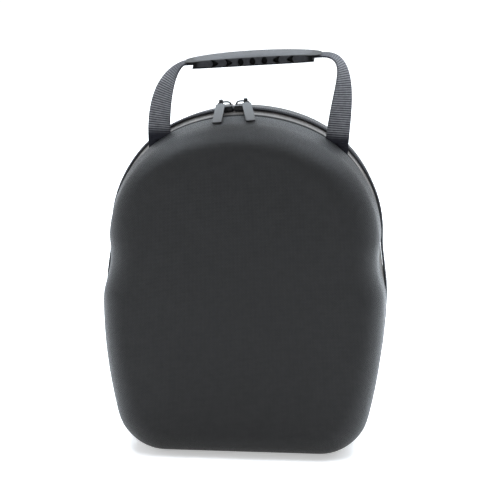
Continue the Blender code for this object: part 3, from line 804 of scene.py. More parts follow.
@dataclass
class CaseShell:
    """One of the two hollow trays: a cloth-covered moulded shell with a rounded edge and a crowned face."""

    outline: CaseOutline
    side: Side
    finish: bpy.types.Material
    wall: float = 0.003
    depth: float = 0.047
    face_crown: float = 0.004
    fillet_depth: float = 0.028
    lip: float = 0.0009
    ease_angle: float = math.radians(86.0)
    spacing: float = 0.0022
    swell: float = 0.00022

    def profile(self, stations: Stations, inset: float, wall_rings: int, fillet_rings: int) -> list:
        """Return the section of one skin, from its rim to where the face starts.

        Args:
            stations: The outline's stations.
            inset: How far the skin lies inside the outer one.
            wall_rings: Rings on the straight wall.
            fillet_rings: Rings on the rounded edge.

        Returns:
            Pairs of how far in and how deep each ring lies.
        """
        wall_end = self.depth - self.fillet_depth
        turn = 1 if inset == 0.0 else -1
        rings = []
        for index in range(3):
            angle = math.pi / 2.0 * index / 3.0
            inward = inset + turn * self.lip * (1.0 - math.sin(angle))
            rings.append((np.full_like(stations.x, inward), self.lip * (1.0 - math.cos(angle))))
        for index in range(wall_rings):
            depth = self.lip + (wall_end - self.lip) * index / wall_rings
            rings.append((inset + stations.draft * depth / self.depth, depth))
        for index in range(fillet_rings + 1):
            angle = self.ease_angle * index / fillet_rings
            rings.append((inset + stations.draft * wall_end / self.depth
                          + (stations.fillet - inset) * (1.0 - math.cos(angle)),
                          wall_end + (self.fillet_depth - inset) * math.sin(angle)))
        return rings

    def skin(self, stations: Stations, inset: float, wall_rings: int, fillet_rings: int,
             face_shares: Sequence[float]) -> tuple:
        """Return the rings of one skin with their texture places.

        Args:
            stations: The outline's stations.
            inset: How far the skin lies inside the outer one.
            wall_rings: Rings on the straight wall.
            fillet_rings: Rings on the rounded edge.
            face_shares: How large each ring of the face is, as a share of its edge.

        Returns:
            Points of shape (rings, stations, 3), and texture places with one more column.
        """
        section = self.profile(stations, inset, wall_rings, fillet_rings)
        away = self.side.value
        base = self.outline.band_half_width
        rows = [stations.at(stations.rim - inward, away * (base + depth)) for inward, depth in section]
        edge = rows[-1]
        flat = edge[:, (0, 2)]
        outward = np.stack((stations.out_x, stations.out_z), axis=-1)
        excess = np.zeros(len(stations.x))
        places = [flat]
        for (inward, depth), (inner, deeper) in zip(section[-2::-1], section[:0:-1]):
            excess = excess + np.hypot(inner - inward, deeper - depth)
            places.insert(0, flat + outward * excess[:, None])
        middle = np.array((0.0, 0.0, self.outline.height / 2.0))
        edge_depth = section[-1][1]
        for share in face_shares:
            ring = middle + share * (edge - middle)
            ring[:, 1] = away * (base + edge_depth + self.face_crown * (1.0 - share * share))
            rows.append(ring)
            places.append(ring[:, (0, 2)])
        grid = np.stack(rows)
        if inset == 0.0:
            grid[:, :, 1] += away * self.unevenness(grid)
        texture = np.stack(places)
        return grid, np.concatenate((texture, texture[:, :1]), axis=1)

    def unevenness(self, grid: np.ndarray) -> np.ndarray:
        """Return the slight waves of cloth over foam, which fade out towards the rim."""
        x, z = grid[:, :, 0], grid[:, :, 2]
        waves = (np.sin(61.0 * x + 23.0 * z + 0.7) * np.sin(47.0 * z - 19.0 * x)
                 + 0.5 * np.sin(133.0 * x - 57.0 * z + 1.9) * np.sin(101.0 * z + 0.4))
        depth = np.abs(grid[:, :, 1]) - self.outline.band_half_width
        return self.swell * waves * smoothstep((depth - 0.02) / 0.03)

    def build(self) -> list:
        """Build the shell as one closed body and return it in a list."""
        stations = self.outline.all_round(self.spacing)
        shares = 1.0 - (np.arange(22) + 1.0) / 22.5
        outer, outer_places = self.skin(stations, 0.0, 5, 16, shares)
        inner, inner_places = self.skin(stations, self.wall, 2, 6, (0.75, 0.5, 0.25, 0.02))
        sketch = MeshSketch()
        sketch.add(np.concatenate((outer[::-1], inner)),
                   np.concatenate((outer_places[::-1], inner_places)), caps=True)
        node = self.side.name.lower() + "_shell"
        piece = sketch.finish(node + "_cloth", [self.finish])
        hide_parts(node)
        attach(piece, "case")
        return [piece]


@dataclass
class ZipBand:
    """The zip: a woven tape on each side, two rows of meshed coil on a core, and rows of stitches."""

    outline: CaseOutline
    tape_finish: bpy.types.Material
    coil_finish: bpy.types.Material
    core_finish: bpy.types.Material
    thread_finish: bpy.types.Material
    thickness: float = 0.0012
    flange: float = 0.008
    shell_wall: float = 0.003
    shell_depth: float = 0.047
    bulge: float = 0.00035
    coil_half_width: float = 0.0033
    pitch: float = 0.0015
    strand: float = 0.00036
    stitch_pitch: float = 0.0026
    stitch_depth: float = 0.0052
    stitch_half_length: float = 0.0009
    stitch_rise: float = 0.0003
    thread_half: tuple = (0.00016, 0.00024)
    row_spacing: float = 0.0021

    def build_tape(self, side: Side) -> bpy.types.Object:
        """Build one tape with the flange that is sewn inside its shell's rim.

        Args:
            side: The shell that it belongs to.

        Returns:
            The tape.
        """
        stations = self.outline.along_zip(self.row_spacing)
        band = self.outline.band_half_width
        groove = band - self.outline.groove_width
        under = stations.rim - self.shell_wall - SEAT_GAP
        flange_end = under - stations.draft * self.flange / self.shell_depth
        outer = [(flange_end, band + self.flange), (under, band - SEAT_GAP)]
        for share in np.linspace(0.0, 1.0, 9):
            depth = groove + (SEAT_GAP - groove) * share
            lift = self.bulge * math.sin(math.pi * share)
            outer.append((self.outline.tape_height(stations, depth) + lift, depth))
        inner = [(out - self.thickness, depth) for out, depth in outer][::-1]
        section = outer + inner
        away = side.value
        rows = np.stack([stations.at(out, away * depth) for out, depth in section], axis=1)
        across = [depth for _, depth in section] + [section[0][1]]
        places = np.stack(np.broadcast_arrays(np.array(across)[None, :], stations.length[:, None]), axis=-1)
        sketch = MeshSketch()
        sketch.add(rows, places, caps=True)
        node = side.name.lower() + "_tape"
        piece = sketch.finish(node + "_cloth", [self.tape_finish])
        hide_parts(node)
        return piece

    def strand_grid(self, stations: Stations, index: int, path: np.ndarray, away: int) -> np.ndarray:
        """Sweep one bent strand across the band.

        Args:
            stations: Stations, one for each strand.
            index: Which of them.
            path: Points of the strand as pairs of depth and height over the crest.
            away: -1 where it comes from the front, 1 from the back.

        Returns:
            The strand's points.
        """
        outward = np.array((stations.out_x[index], 0.0, stations.out_z[index]))
        along = np.array((outward[2], 0.0, -outward[0]))
        foot = np.array((stations.x[index], 0.0, stations.z[index])) + outward * stations.crest[index]
        depth = np.array((0.0, away, 0.0))
        centres = foot + path[:, :1] * depth + path[:, 1:] * outward
        slope = np.gradient(path, axis=0)
        slope /= np.hypot(*slope.T)[:, None]
        normals = -slope[:, 1:] * depth + slope[:, :1] * outward
        ring = rounded_ring(6, self.strand, self.strand, 2.0)
        return tube_grid(centres, normals, np.broadcast_to(along, centres.shape), ring)

    def build_coil(self) -> list:
        """Build the meshed strands and the core under them."""
        width = self.coil_half_width
        low = -self.outline.coil_height + self.strand
        path = np.array(((width - 0.0004, low), (width - 0.0003, low / 2.0), (width - 0.0009, -self.strand),
                         (width * 0.45, -self.strand), (-width * 0.12, -self.strand - 0.0001),
                         (-width * 0.30, -self.strand - 0.0008)))
        reach = self.outline.zip_reach() - 0.001
        sketch = MeshSketch()
        for side, shift in ((Side.FRONT, 0.0), (Side.BACK, 0.5)):
            lengths = np.arange(-reach + shift * self.pitch, reach, self.pitch)
            stations = self.outline.stations(lengths)
            for index in range(len(lengths)):
                sketch.add(self.strand_grid(stations, index, path, side.value), caps=True)
        teeth = sketch.finish("zip_coil_strands", [self.coil_finish])
        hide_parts("zip_coil")
        stations = self.outline.along_zip(self.row_spacing)
        height = self.outline.coil_height
        section = rounded_ring(14, width - 0.0009, (height - 2.0 * self.strand) / 2.0, 3.0)
        rows = np.stack([stations.at(stations.crest - self.strand * 1.4 - height / 2.0 + rise, depth)
                         for depth, rise in section], axis=1)
        core = MeshSketch()
        core.add(rows, caps=True)
        pieces = [teeth, core.finish("zip_coil_core", [self.core_finish])]
        return pieces

    def build_stitches(self) -> bpy.types.Object:
        """Build the row of stitches on each side of the coil."""
        reach = self.outline.zip_reach() - 0.003
        lengths = np.arange(-reach, reach, self.stitch_pitch)
        ring = rounded_ring(5, *self.thread_half, 2.0)
        shares = np.linspace(-1.0, 1.0, 5)
        bury = 0.0002
        sketch = MeshSketch()
        for side in Side:
            starts = self.outline.stations(lengths)
            for index in range(len(lengths)):
                outward = np.array((starts.out_x[index], 0.0, starts.out_z[index]))
                along = np.array((outward[2], 0.0, -outward[0]))
                face = self.outline.tape_height(starts, self.stitch_depth)[index] + self.bulge * 0.85
                middle = np.array((starts.x[index], side.value * self.stitch_depth, starts.z[index]))
                height = face - bury + self.stitch_rise * (1.0 - shares[:, None] ** 2)
                centres = middle + height * outward + shares[:, None] * self.stitch_half_length * along
                across = np.broadcast_to(np.array((0.0, 1.0, 0.0)), centres.shape)
                lift = np.broadcast_to(outward, centres.shape)
                sketch.add(tube_grid(centres, lift, across, ring), caps=True)
        piece = sketch.finish("zip_stitches", [self.thread_finish])
        return piece

    def build(self) -> list:
        """Build every piece of the zip and return them."""
        pieces = [self.build_tape(Side.FRONT), self.build_tape(Side.BACK)]
        pieces += self.build_coil()
        pieces.append(self.build_stitches())
        for piece in pieces:
            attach(piece, "case")
        return pieces


@dataclass
class SliderSizes:
    """The sizes that a slider shares with the pull on its bridge."""

    length: float = 0.0140
    plate: float = 0.0015
    side_wall: float = 0.0013
    meeting_offset: float = -0.0115
    nose_gap: float = 0.0010
    bridge_length: float = 0.0125
    bridge_width: float = 0.0024
    bridge_bar: float = 0.0014
    eye_wall: float = 0.0009

    def centre(self, hand: Hand) -> float:
        """Return how far along the crown the slider's middle lies."""
        return self.meeting_offset + hand.value * (self.length + self.nose_gap) / 2.0

    def eye_inner(self) -> float:
        """Return the inner radius of a pull's eye."""
        return math.hypot(self.bridge_width, self.bridge_bar) / 2.0 + EYE_GAP

    def plate_top(self) -> float:
        """Return the height of the slider's top face over the coil."""
        return SLIDING_GAP + self.plate

    def bar_height(self) -> float:
        """Return the height of the bridge's bar over the coil."""
        return self.plate_top() + self.eye_inner() + self.eye_wall + SLIDING_GAP


@dataclass
class ZipSlider:
    """One slider: a body that straddles the coil, and an arched bridge on top of it."""

    outline: CaseOutline
    sizes: SliderSizes
    hand: Hand
    finish: bpy.types.Material
    edge: float = 0.0007
    round_start: float = 0.84
    end_rounding: tuple = (0.0006, 0.0007)
    tail_narrowing: float = 0.0007
    tail_fall: float = 0.0003
    top_crown: float = 0.0002
    foot_rise: float = 0.0002
    foot_sink: float = 0.0006
    arch_power: float = 2.9

    def body_grid(self) -> np.ndarray:
        """Return the rings of the body, rounded at both ends and narrower at its tail."""
        half = self.sizes.length / 2.0
        inner = self.outline.coil_height * 1.5 + SLIDING_GAP
        outer = inner + self.sizes.side_wall
        slope = ((self.outline.coil_crest + self.outline.groove_depth - self.outline.coil_height)
                 / (self.outline.band_half_width - self.outline.groove_width))
        foot = -(self.outline.coil_height + SEAT_GAP + slope * inner) + SLIDING_GAP
        top = self.sizes.plate_top()
        rows = []
        for share in np.concatenate((np.linspace(-1.0, -0.86, 5), np.linspace(-0.8, 0.8, 13),
                                     np.linspace(0.86, 1.0, 5))):
            end = max(0.0, (abs(share) - self.round_start) / (1.0 - self.round_start))
            round_off = 1.0 - math.sqrt(max(0.0, 1.0 - end * end))
            tail = float(smoothstep(np.array(-share * self.nose() * 0.5 + 0.1)))
            width = outer - self.tail_narrowing * tail - self.end_rounding[0] * round_off
            height = top - self.end_rounding[1] * round_off - self.tail_fall * tail
            edge = self.edge
            outside = [(width, foot + self.foot_rise), (width, height - edge)]
            for index in range(1, 5):
                angle = math.pi / 2.0 * index / 4.0
                outside.append((width - edge * (1.0 - math.cos(angle)),
                                height - edge * (1.0 - math.sin(angle))))
            outside.append((width * 0.4, height + self.top_crown))
            inside = [(inner, foot), (inner, SLIDING_GAP)]
            whole_ring = outside + [(-y, z) for y, z in outside[::-1]]
            whole_ring += [(-y, z) for y, z in inside] + inside[::-1]
            rows.append([(share * half, y, z) for y, z in whole_ring])
        return np.array(rows)

    def nose(self) -> int:
        """Return the direction in which the wide end points, towards the other slider."""
        return -self.hand.value

    def bridge_grid(self) -> np.ndarray:
        """Return the swept arch of the bridge, with both feet sunk in the body."""
        foot = self.sizes.plate_top() - self.foot_sink
        rise = self.sizes.bar_height() - foot
        reach = (self.sizes.bridge_length - self.sizes.bridge_bar) / 2.0
        angle = np.linspace(0.0, math.pi, 33)
        x = reach * np.sign(np.cos(angle)) * np.abs(np.cos(angle)) ** (2.0 / self.arch_power)
        z = foot + rise * np.sin(angle) ** (2.0 / self.arch_power)
        path = np.stack((x, np.zeros_like(x), z), axis=-1)
        along = np.gradient(path, axis=0)
        along /= np.linalg.norm(along, axis=1)[:, None]
        across = np.broadcast_to(np.array((0.0, 1.0, 0.0)), path.shape)
        section = rounded_ring(16, self.sizes.bridge_width / 2.0, self.sizes.bridge_bar / 2.0, 3.0)
        return tube_grid(path, across, np.cross(along, across), section)

    def build(self) -> list:
        """Build the slider as one piece and return it in a list."""
        sketch = MeshSketch()
        sketch.add(self.body_grid(), caps=True)
        sketch.add(self.bridge_grid(), caps=True)
        node = "slider_" + self.hand.name.lower()
        place = self.outline.crown_place(self.sizes.centre(self.hand))
        piece = sketch.finish(node + "_enamel", [self.finish], place)
        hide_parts(node)
        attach(piece, "case")
        return [piece]


@dataclass
class PullTab:
    """One pull: an eye round the bridge's bar, a neck, and a flat plate with dark sides."""

    outline: CaseOutline
    sizes: SliderSizes
    hand: Hand
    splay: float
    face_finish: bpy.types.Material
    side_finish: bpy.types.Material
    link_finish: bpy.types.Material
    length: float = 0.0370
    width: float = 0.0080
    thickness: float = 0.0016
    neck_width: float = 0.0030
    neck_end: float = 0.0048
    neck_overlap: float = 0.0020
    neck_flare: float = 0.003
    neck_half_thickness: float = 0.0006
    corner: float = 0.0011
    rim_width: float = 0.0012
    dish: float = 0.0001
    edge: float = 0.0003
    eye_length: float = 0.0032
    eye_offset: float = 0.0024
    shell_depth: float = 0.047

    def dip(self) -> float:
        """Return the angle under the horizontal at which the plate's tip rests on the front shell."""
        band = self.outline.band_half_width
        draft = self.outline.wall_draft * self.outline.sections[0][self.outline.columns.index("draft")]
        wall_drop = draft * (self.length - band) / self.shell_depth
        fall = (self.outline.coil_crest + self.sizes.bar_height() + wall_drop
                - self.thickness / 2.0 - SLIDING_GAP)
        return math.asin(fall / self.length)

    def plan(self, inset: float) -> np.ndarray:
        """Return the plate's rounded outline, drawn in by an inset."""
        middle = -(self.length + self.neck_end) / 2.0
        half_long = (self.length - self.neck_end) / 2.0 - inset
        half_wide = self.width / 2.0 - inset
        radius = max(self.corner - inset, 0.0003)
        points = []
        for start, (sx, sy) in enumerate(((1, 1), (-1, 1), (-1, -1), (1, -1))):
            for index in range(6):
                angle = math.pi / 2.0 * (start + index / 5.0)
                points.append((sx * (half_wide - radius) + radius * math.cos(angle),
                               middle + sy * (half_long - radius) + radius * math.sin(angle)))
        return np.array(points)

    def add_plate(self, sketch: MeshSketch) -> None:
        """Add the plate: grey top and underside with softened edges, and dark sides."""
        half = self.thickness / 2.0
        levels = []
        for sign in (1.0, -1.0):
            steps = [(self.edge * (1.0 - math.sin(a)), sign * (half - self.edge * (1.0 - math.cos(a))))
                     for a in (0.0, math.pi / 4.0, math.pi / 2.0)]
            levels.append(steps if sign > 0.0 else steps[::-1])
        rows = [np.column_stack((self.plan(inset), np.full(24, z))) for inset, z in levels[0]]
        low_rows = [np.column_stack((self.plan(inset), np.full(24, z))) for inset, z in levels[1]]
        dished = [np.column_stack((self.plan(self.rim_width), np.full(24, half - self.dish))), rows[0]]
        sketch.add(np.stack(dished + rows[1:]), caps=True, slot=0)
        sketch.add(np.stack([rows[-1], low_rows[0]]), slot=1)
        sketch.add(np.stack(low_rows), caps=True, slot=0)

    def add_eye(self, sketch: MeshSketch) -> None:
        """Add the eye round the bar and the neck that joins it to the plate."""
        inner = self.sizes.eye_inner()
        wall = self.sizes.eye_wall
        section = rounded_ring(12, self.eye_length / 2.0, wall / 2.0, 3.0)
        angles = 2.0 * math.pi * np.arange(28) / 28
        radial = np.stack((np.zeros_like(angles), np.cos(angles), np.sin(angles)), axis=-1)
        along = np.broadcast_to(np.array((1.0, 0.0, 0.0)), radial.shape)
        sketch.add(tube_grid(radial * (inner + wall / 2.0), along, radial, section), loop=True, slot=2)
        stops = np.linspace(-inner - wall * 0.5, -self.neck_end - self.neck_overlap, 9)
        flare = smoothstep((-stops - inner - wall) / self.neck_flare)
        rows = []
        for stop, share in zip(stops, flare):
            ring = rounded_ring(14, self.neck_width / 2.0 * (1.0 - 0.1 * share),
                                self.neck_half_thickness + 0.0001 * share, 3.5)
            rows.append(np.column_stack((ring[:, 0], np.full(14, stop), ring[:, 1])))
        sketch.add(np.stack(rows), caps=True, slot=2)

    def build(self) -> list:
        """Build the pull on its own body and return it in a list."""
        sketch = MeshSketch()
        self.add_plate(sketch)
        flat = [part @ np.array(Matrix.Rotation(self.splay, 3, "Z")).T for part in sketch.points]
        sketch.points = flat
        eye = MeshSketch()
        self.add_eye(eye)
        turned = [part.copy() for part in eye.points]
        turned[1] = turned[1] @ np.array(Matrix.Rotation(self.splay, 3, "Z")).T
        sketch.faces += [[corner + sketch.count for corner in face] for face in eye.faces]
        sketch.points += turned
        sketch.places += eye.places
        sketch.slots += eye.slots
        name = self.hand.name.lower()
        place = (self.outline.crown_place(self.sizes.centre(self.hand))
                 @ Matrix.Translation((self.hand.value * self.eye_offset, 0.0, self.sizes.bar_height()))
                 @ Matrix.Rotation(self.dip(), 4, "X"))
        piece = sketch.finish("pull_" + name + "_tab",
                              [self.face_finish, self.side_finish, self.link_finish], place)
        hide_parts("pull_" + name)
        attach(piece, name + "_pull")
        return [piece]


@dataclass
class HandleRoute:
    """Where the grip lies and how the webbing runs to it from both shoulders."""

    outline: CaseOutline
    grip_length: float = 0.114
    grip_offset: float = 0.0047
    grip_depth: float = -0.005
    grip_rise: float = 0.0463
    grip_tilt: float = math.radians(4.5)
    base_twist: float = math.radians(10.0)
    base_depth: float = -0.0127
    root: float = 0.016
    base_offsets: tuple = (-0.0720, 0.0749)
    rises: tuple = ((-0.0079, 0.0, 0.0598), (0.0012, 0.0, 0.0505))
    reaches: tuple = (0.0065, 0.0305)

    def grip_centre(self) -> tuple:
        """Return the middle of the grip."""
        return self.grip_offset, self.grip_depth, self.outline.height + self.grip_rise

    def grip_place(self) -> Matrix:
        """Return the grip's frame: x along the grip, z out of its top."""
        return Matrix.Translation(self.grip_centre()) @ Matrix.Rotation(-self.grip_tilt, 4, "Y")

    def side(self, hand: Hand, count: int) -> tuple:
        """Return the frames of one side of the webbing, from its sewn root to the grip's end.

        Args:
            hand: Which side.
            count: Number of frames.

        Returns:
            Points, directions across the webbing and directions through it.
        """
        index = 0 if hand is Hand.LEFT else 1
        away = hand.value
        centre, radius = self.outline.shoulder_arc()
        offset = self.base_offsets[index]
        seam = centre[1] + math.sqrt(radius ** 2 - (abs(offset) - centre[0]) ** 2)
        grip = self.grip_place()
        end = np.array(grip @ Vector((away * self.grip_length / 2.0, 0.0, 0.0)))
        before = np.array(grip @ Vector((away * (self.grip_length / 2.0 + self.reaches[index]), 0.0, 0.0)))
        root = np.array((offset, self.base_depth, seam - self.root))
        a, b, c, d = root, root + np.array(self.rises[index]), before, end
        t = np.linspace(0.0, 1.0, count)[:, None]
        s = 1.0 - t
        points = a * s ** 3 + b * (3 * s * s * t) + c * (3 * s * t * t) + d * t ** 3
        along = (b - a) * (3 * s * s) + (c - b) * (6 * s * t) + (d - c) * (3 * t * t)
        along /= np.linalg.norm(along, axis=1)[:, None]
        flat = np.stack((-away * along[:, 2], np.zeros(count), away * along[:, 0]), axis=-1)
        flat /= np.linalg.norm(flat, axis=1)[:, None]
        twist = self.base_twist + (math.pi / 2.0 - self.base_twist) * smoothstep(t)
        across = flat * np.cos(twist) + np.array((0.0, -1.0, 0.0)) * np.sin(twist)
        through = np.cross(along, across)
        through /= np.linalg.norm(through, axis=1)[:, None]
        across = np.cross(through, along)
        return points, across, through * away


@dataclass
class HandleStrap:
    """Ribbed webbing from one shoulder through the grip to the other."""

    route: HandleRoute
    finish: bpy.types.Material
    width: float = 0.020
    thickness: float = 0.0016
    rib_pitch: float = 0.0019
    rib_height: float = 0.00040
    side_frames: int = 420
    columns: int = 48
    seam_reach: tuple = (0.035, 0.135)
    seam_flange: float = 0.008
    seam_depth: float = 0.048
    coil_half_width: float = 0.0033

    def build(self) -> list:
        """Build the webbing, trimmed to the seam at both roots, and return it in a list."""
        left = self.route.side(Hand.LEFT, self.side_frames)
        right = [part[::-1] for part in self.route.side(Hand.RIGHT, self.side_frames)]
        share = np.linspace(0.0, 1.0, 40)[1:-1, None]
        middle = [a[-1] * (1.0 - share) + b[0] * share for a, b in zip(left, right)]
        points, across, through = (np.concatenate(parts) for parts in zip(left, middle, right))
        through /= np.linalg.norm(through, axis=1)[:, None]
        length = np.concatenate(([0.0], np.cumsum(np.linalg.norm(np.diff(points, axis=0), axis=1))))
        section = rounded_ring(self.columns, self.width / 2.0, self.thickness / 2.0, 7.0)
        from_root = np.minimum(length, length[-1] - length) - self.route.root
        wave = np.sqrt(np.abs(np.sin(math.pi * from_root / self.rib_pitch)))
        fade = 1.0 - smoothstep((np.abs(section[:, 0]) / (self.width / 2.0) - 0.86) / 0.12)
        ribs = (wave[:, None] - 0.7) * fade[None, :] * self.rib_height
        sign = np.sign(section[:, 1])
        rows = (points[:, None, :] + across[:, None, :] * section[None, :, :1]
                + through[:, None, :] * (section[None, :, 1:] + (ribs * sign)[:, :, None]))
        first, last = length[self.side_frames - 1], length[-self.side_frames]
        from_grip = np.where(length < (first + last) / 2.0, first - length, length - last)
        # The distances from each root and from the grip carry the finish's painted shade.
        places = np.stack((np.clip(from_root, 0.0, 1.0), np.clip(from_grip, 0.0, 1.0)), axis=-1)
        sketch = MeshSketch()
        sketch.add(rows, np.repeat(places[:, None, :], self.columns + 1, axis=1), caps=True)
        piece = sketch.finish("handle_webbing", [self.finish])
        boolean_cut(piece, [self.seam_cutter(sign) for sign in (-1, 1)])
        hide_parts("handle_strap")
        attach(piece, "case")
        return [piece]

    def seam_cutter(self, sign: int) -> bpy.types.Object:
        """Return the stretch of the band at one shoulder that trims the webbing.

        Args:
            sign: -1 for the left shoulder, 1 for the right one.

        Returns:
            A closed shape.
        """
        outline = self.route.outline
        stations = outline.stations(sign * np.linspace(*self.seam_reach, 60))
        wide = outline.band_half_width + self.seam_flange
        groove = outline.band_half_width - outline.groove_width
        edge = self.coil_half_width + SEAT_GAP
        lift = SEAT_GAP + SEAT_GAP
        inside = np.full_like(stations.x, -self.seam_depth)
        section = (
            (stations.rim + SEAT_GAP, -wide),
            (stations.rim + SEAT_GAP, -groove - SEAT_GAP),
            (outline.tape_height(stations, groove) + SEAT_GAP, -groove),
            (outline.tape_height(stations, groove * 0.6) + lift, -groove * 0.6),
            (outline.tape_height(stations, edge) + lift, -edge),
            (stations.crest + SEAT_GAP, -edge),
            (stations.crest + SEAT_GAP, wide),
            (inside, wide),
            (inside, -wide),
        )
        sketch = MeshSketch()
        sketch.add(np.stack([stations.at(out, depth) for out, depth in section], axis=1), caps=True)
        return sketch.finish("seam_trim", [])


@dataclass
class HandleGrip:
    """The moulded sleeve: crowned top, notched ends, and crescents and ovals sunk in both sides."""

    route: HandleRoute
    finish: bpy.types.Material
    width: float = 0.028
    side_height: float = 0.0072
    crown: float = 0.0030
    edge: float = 0.0013
    end_drop: float = 0.0016
    end_taper: float = 0.0055
    strap_width: float = 0.020
    strap_thickness: float = 0.0016
    notch_reach: float = 0.0075
    lip: float = 0.0022
    pocket_depth: float = 0.0030
    pocket_height: float = 0.0062
    oval_width: float = 0.0048
    oval_pitch: float = 0.0098
    oval_count: int = 3
    crescent_width: float = 0.0088
    crescent_thickness: float = 0.0046
    crescent_first: float = 0.0212
    crescent_pitch: float = 0.0116
    crescent_count: int = 2
    voxel: float = 0.00042
    nub_radius: float = 0.0016
    nub_offset: float = -0.002
    nub_height: float = 0.0007
    nub_sink: float = 0.0003

    def body_grid(self) -> np.ndarray:
        """Return the rings of the sleeve before it is cut."""
        low = -self.side_height / 2.0
        rows = []
        for share in np.linspace(-1.0, 1.0, 61):
            along = share * self.route.grip_length / 2.0
            half = self.width / 2.0 - self.end_taper * abs(share) ** 12
            high = self.side_height / 2.0 - self.end_drop * share ** 4
            bow = self.crown * (1.0 - share ** 2)
            ring = [(-half, high - self.edge), (-half, low + self.edge), (-half + self.edge, low),
                    (half - self.edge, low), (half, low + self.edge), (half, high - self.edge)]
            for index in range(17):
                across = (half - self.edge * 0.4) * (1.0 - 2.0 * index / 16.0)
                rounded = (1.0 - abs(across / half) ** 2.6)
                ring.append((across, high - self.edge * 0.3 + (bow + self.edge * 0.3) * rounded))
            rows.append([(along, y, z) for y, z in ring])
        return np.array(rows)

    def prism(self, outline: np.ndarray, low: float, high: float, place: Matrix) -> bpy.types.Object:
        """Return a cutter: an outline in x and z, drawn out from one y to another."""
        rows = np.stack([np.column_stack((outline[:, 0], np.full(len(outline), y), outline[:, 1]))
                         for y in (low, high)])
        sketch = MeshSketch()
        sketch.add(rows, caps=True)
        return sketch.finish("grip_cut", [], place)

    def crescent(self, centre: float, sign: int) -> np.ndarray:
        """Return a crescent with its back towards the grip's middle."""
        angle = math.pi * (np.linspace(0.0, 1.0, 15) - 0.5)
        height = self.pocket_height / 2.0 * np.sin(angle)
        hollow = self.crescent_width - self.crescent_thickness
        base = centre + sign * self.crescent_width / 2.0
        back = np.stack((base - sign * self.crescent_width * np.cos(angle), height), axis=-1)
        front = np.stack((base - sign * hollow * np.cos(angle), height), axis=-1)
        return np.concatenate((back, front[::-1][1:-1]))

    def pattern(self) -> list:
        """Return the outlines of the ovals and the crescents."""
        angle = 2.0 * math.pi * np.arange(24) / 24
        outlines = []
        for index in range(self.oval_count):
            centre = (index - (self.oval_count - 1) / 2.0) * self.oval_pitch
            outlines.append(np.stack((centre + self.oval_width / 2.0 * np.cos(angle),
                                      self.pocket_height / 2.0 * np.sin(angle)), axis=-1))
        for sign in (-1, 1):
            for index in range(self.crescent_count):
                centre = self.crescent_first + index * self.crescent_pitch
                outlines.append(self.crescent(sign * centre, sign))
        return outlines

    def notch(self, sign: int) -> np.ndarray:
        """Return the outline that is cut from one end, which leaves a lip on top."""
        edge = sign * self.route.grip_length / 2.0
        top = self.side_height / 2.0 - self.lip
        low = -self.side_height
        angle = np.linspace(0.0, math.pi / 2.0, 13)
        curve = np.stack((edge - sign * self.notch_reach * np.sin(angle),
                          low + (top - low) * (1.0 - np.cos(angle))), axis=-1)
        corners = np.array(((edge + sign * self.lip, top), (edge + sign * self.lip, low)))
        return np.concatenate((corners, curve))

    def build(self) -> list:
        """Build the sleeve and soften every edge of it, and return it in a list."""
        place = self.route.grip_place()
        sketch = MeshSketch()
        sketch.add(self.body_grid(), caps=True)
        piece = sketch.finish("grip_sleeve", [self.finish], place)
        half = self.strap_width / 2.0 + SEAT_GAP
        thick = self.strap_thickness / 2.0 + SEAT_GAP
        reach = self.route.grip_length
        channel = np.array(((-reach, -thick), (reach, -thick), (reach, thick), (-reach, thick)))
        cutters = [self.prism(channel, -half, half, place)]
        cutters += [self.prism(self.notch(sign), -self.width, self.width, place) for sign in (-1, 1)]
        floor = self.width / 2.0 - self.pocket_depth
        for outline in self.pattern():
            cutters.append(self.prism(outline, -self.width, -floor, place))
            cutters.append(self.prism(outline, floor, self.width, place))
        boolean_cut(piece, cutters)
        remesh = piece.modifiers.new("skin", "REMESH")
        remesh.mode = "VOXEL"
        remesh.voxel_size = self.voxel
        soften = piece.modifiers.new("soften", "SMOOTH")
        soften.factor = 0.5
        soften.iterations = 3
        apply_modifiers(piece)
        piece.data.shade_smooth()
        if not piece.data.materials:
            piece.data.materials.append(self.finish)
        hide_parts("handle_grip")
        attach(piece, "case")
        return [piece, self.build_nub(place)]

    def build_nub(self, place: Matrix) -> bpy.types.Object:
        """Build the small moulding point on top of the sleeve."""
        angle = 2.0 * math.pi * np.arange(20) / 20
        rows = []
        for level in np.linspace(0.0, math.pi / 2.0, 7)[:-1]:
            ring = self.nub_radius * math.cos(level)
            height = self.side_height / 2.0 + self.crown - self.nub_sink + self.nub_height * math.sin(level)
            rows.append(np.column_stack((self.nub_offset + ring * np.cos(angle), ring * np.sin(angle),
                                         np.full(20, height))))
        sketch = MeshSketch()
        sketch.add(np.stack(rows), caps=True)
        nub = sketch.finish("grip_nub", [self.finish], place)
        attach(nub, "case")
        return nub


@dataclass
class HingeStrip:
    """The cloth strip that joins the shells along the flat bottom, between the zip's ends."""

    outline: CaseOutline
    finish: bpy.types.Material
    half_length: float = 0.05479
    half_width: float = 0.024
    low: float = 0.0033
    thickness: float = 0.0014
    rib_pitch: float = 0.0035
    rib_height: float = 0.00008

    def build(self) -> list:
        """Build the strip with soft edges and shallow cross ribs, and return it in a list."""
        section = rounded_ring(28, self.half_width, self.thickness / 2.0, 8.0)
        lengths = np.linspace(-self.half_length, self.half_length, 121)
        rows = []
        for along in lengths:
            wave = self.rib_height * math.sin(2.0 * math.pi * along / self.rib_pitch)
            swell = 1.0 + wave / (self.thickness / 2.0)
            rows.append(np.column_stack((np.full(28, along), section[:, 0],
                                         self.low + self.thickness / 2.0 + section[:, 1] * swell)))
        across = np.concatenate((section[:, 0], section[:1, 0]))
        places = np.stack(np.broadcast_arrays(across[None, :], lengths[:, None]), axis=-1)
        sketch = MeshSketch()
        sketch.add(np.stack(rows), places, caps=True)
        piece = sketch.finish("hinge_cloth", [self.finish])
        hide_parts("hinge_tape")
        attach(piece, "case")
        return [piece]


# The studio


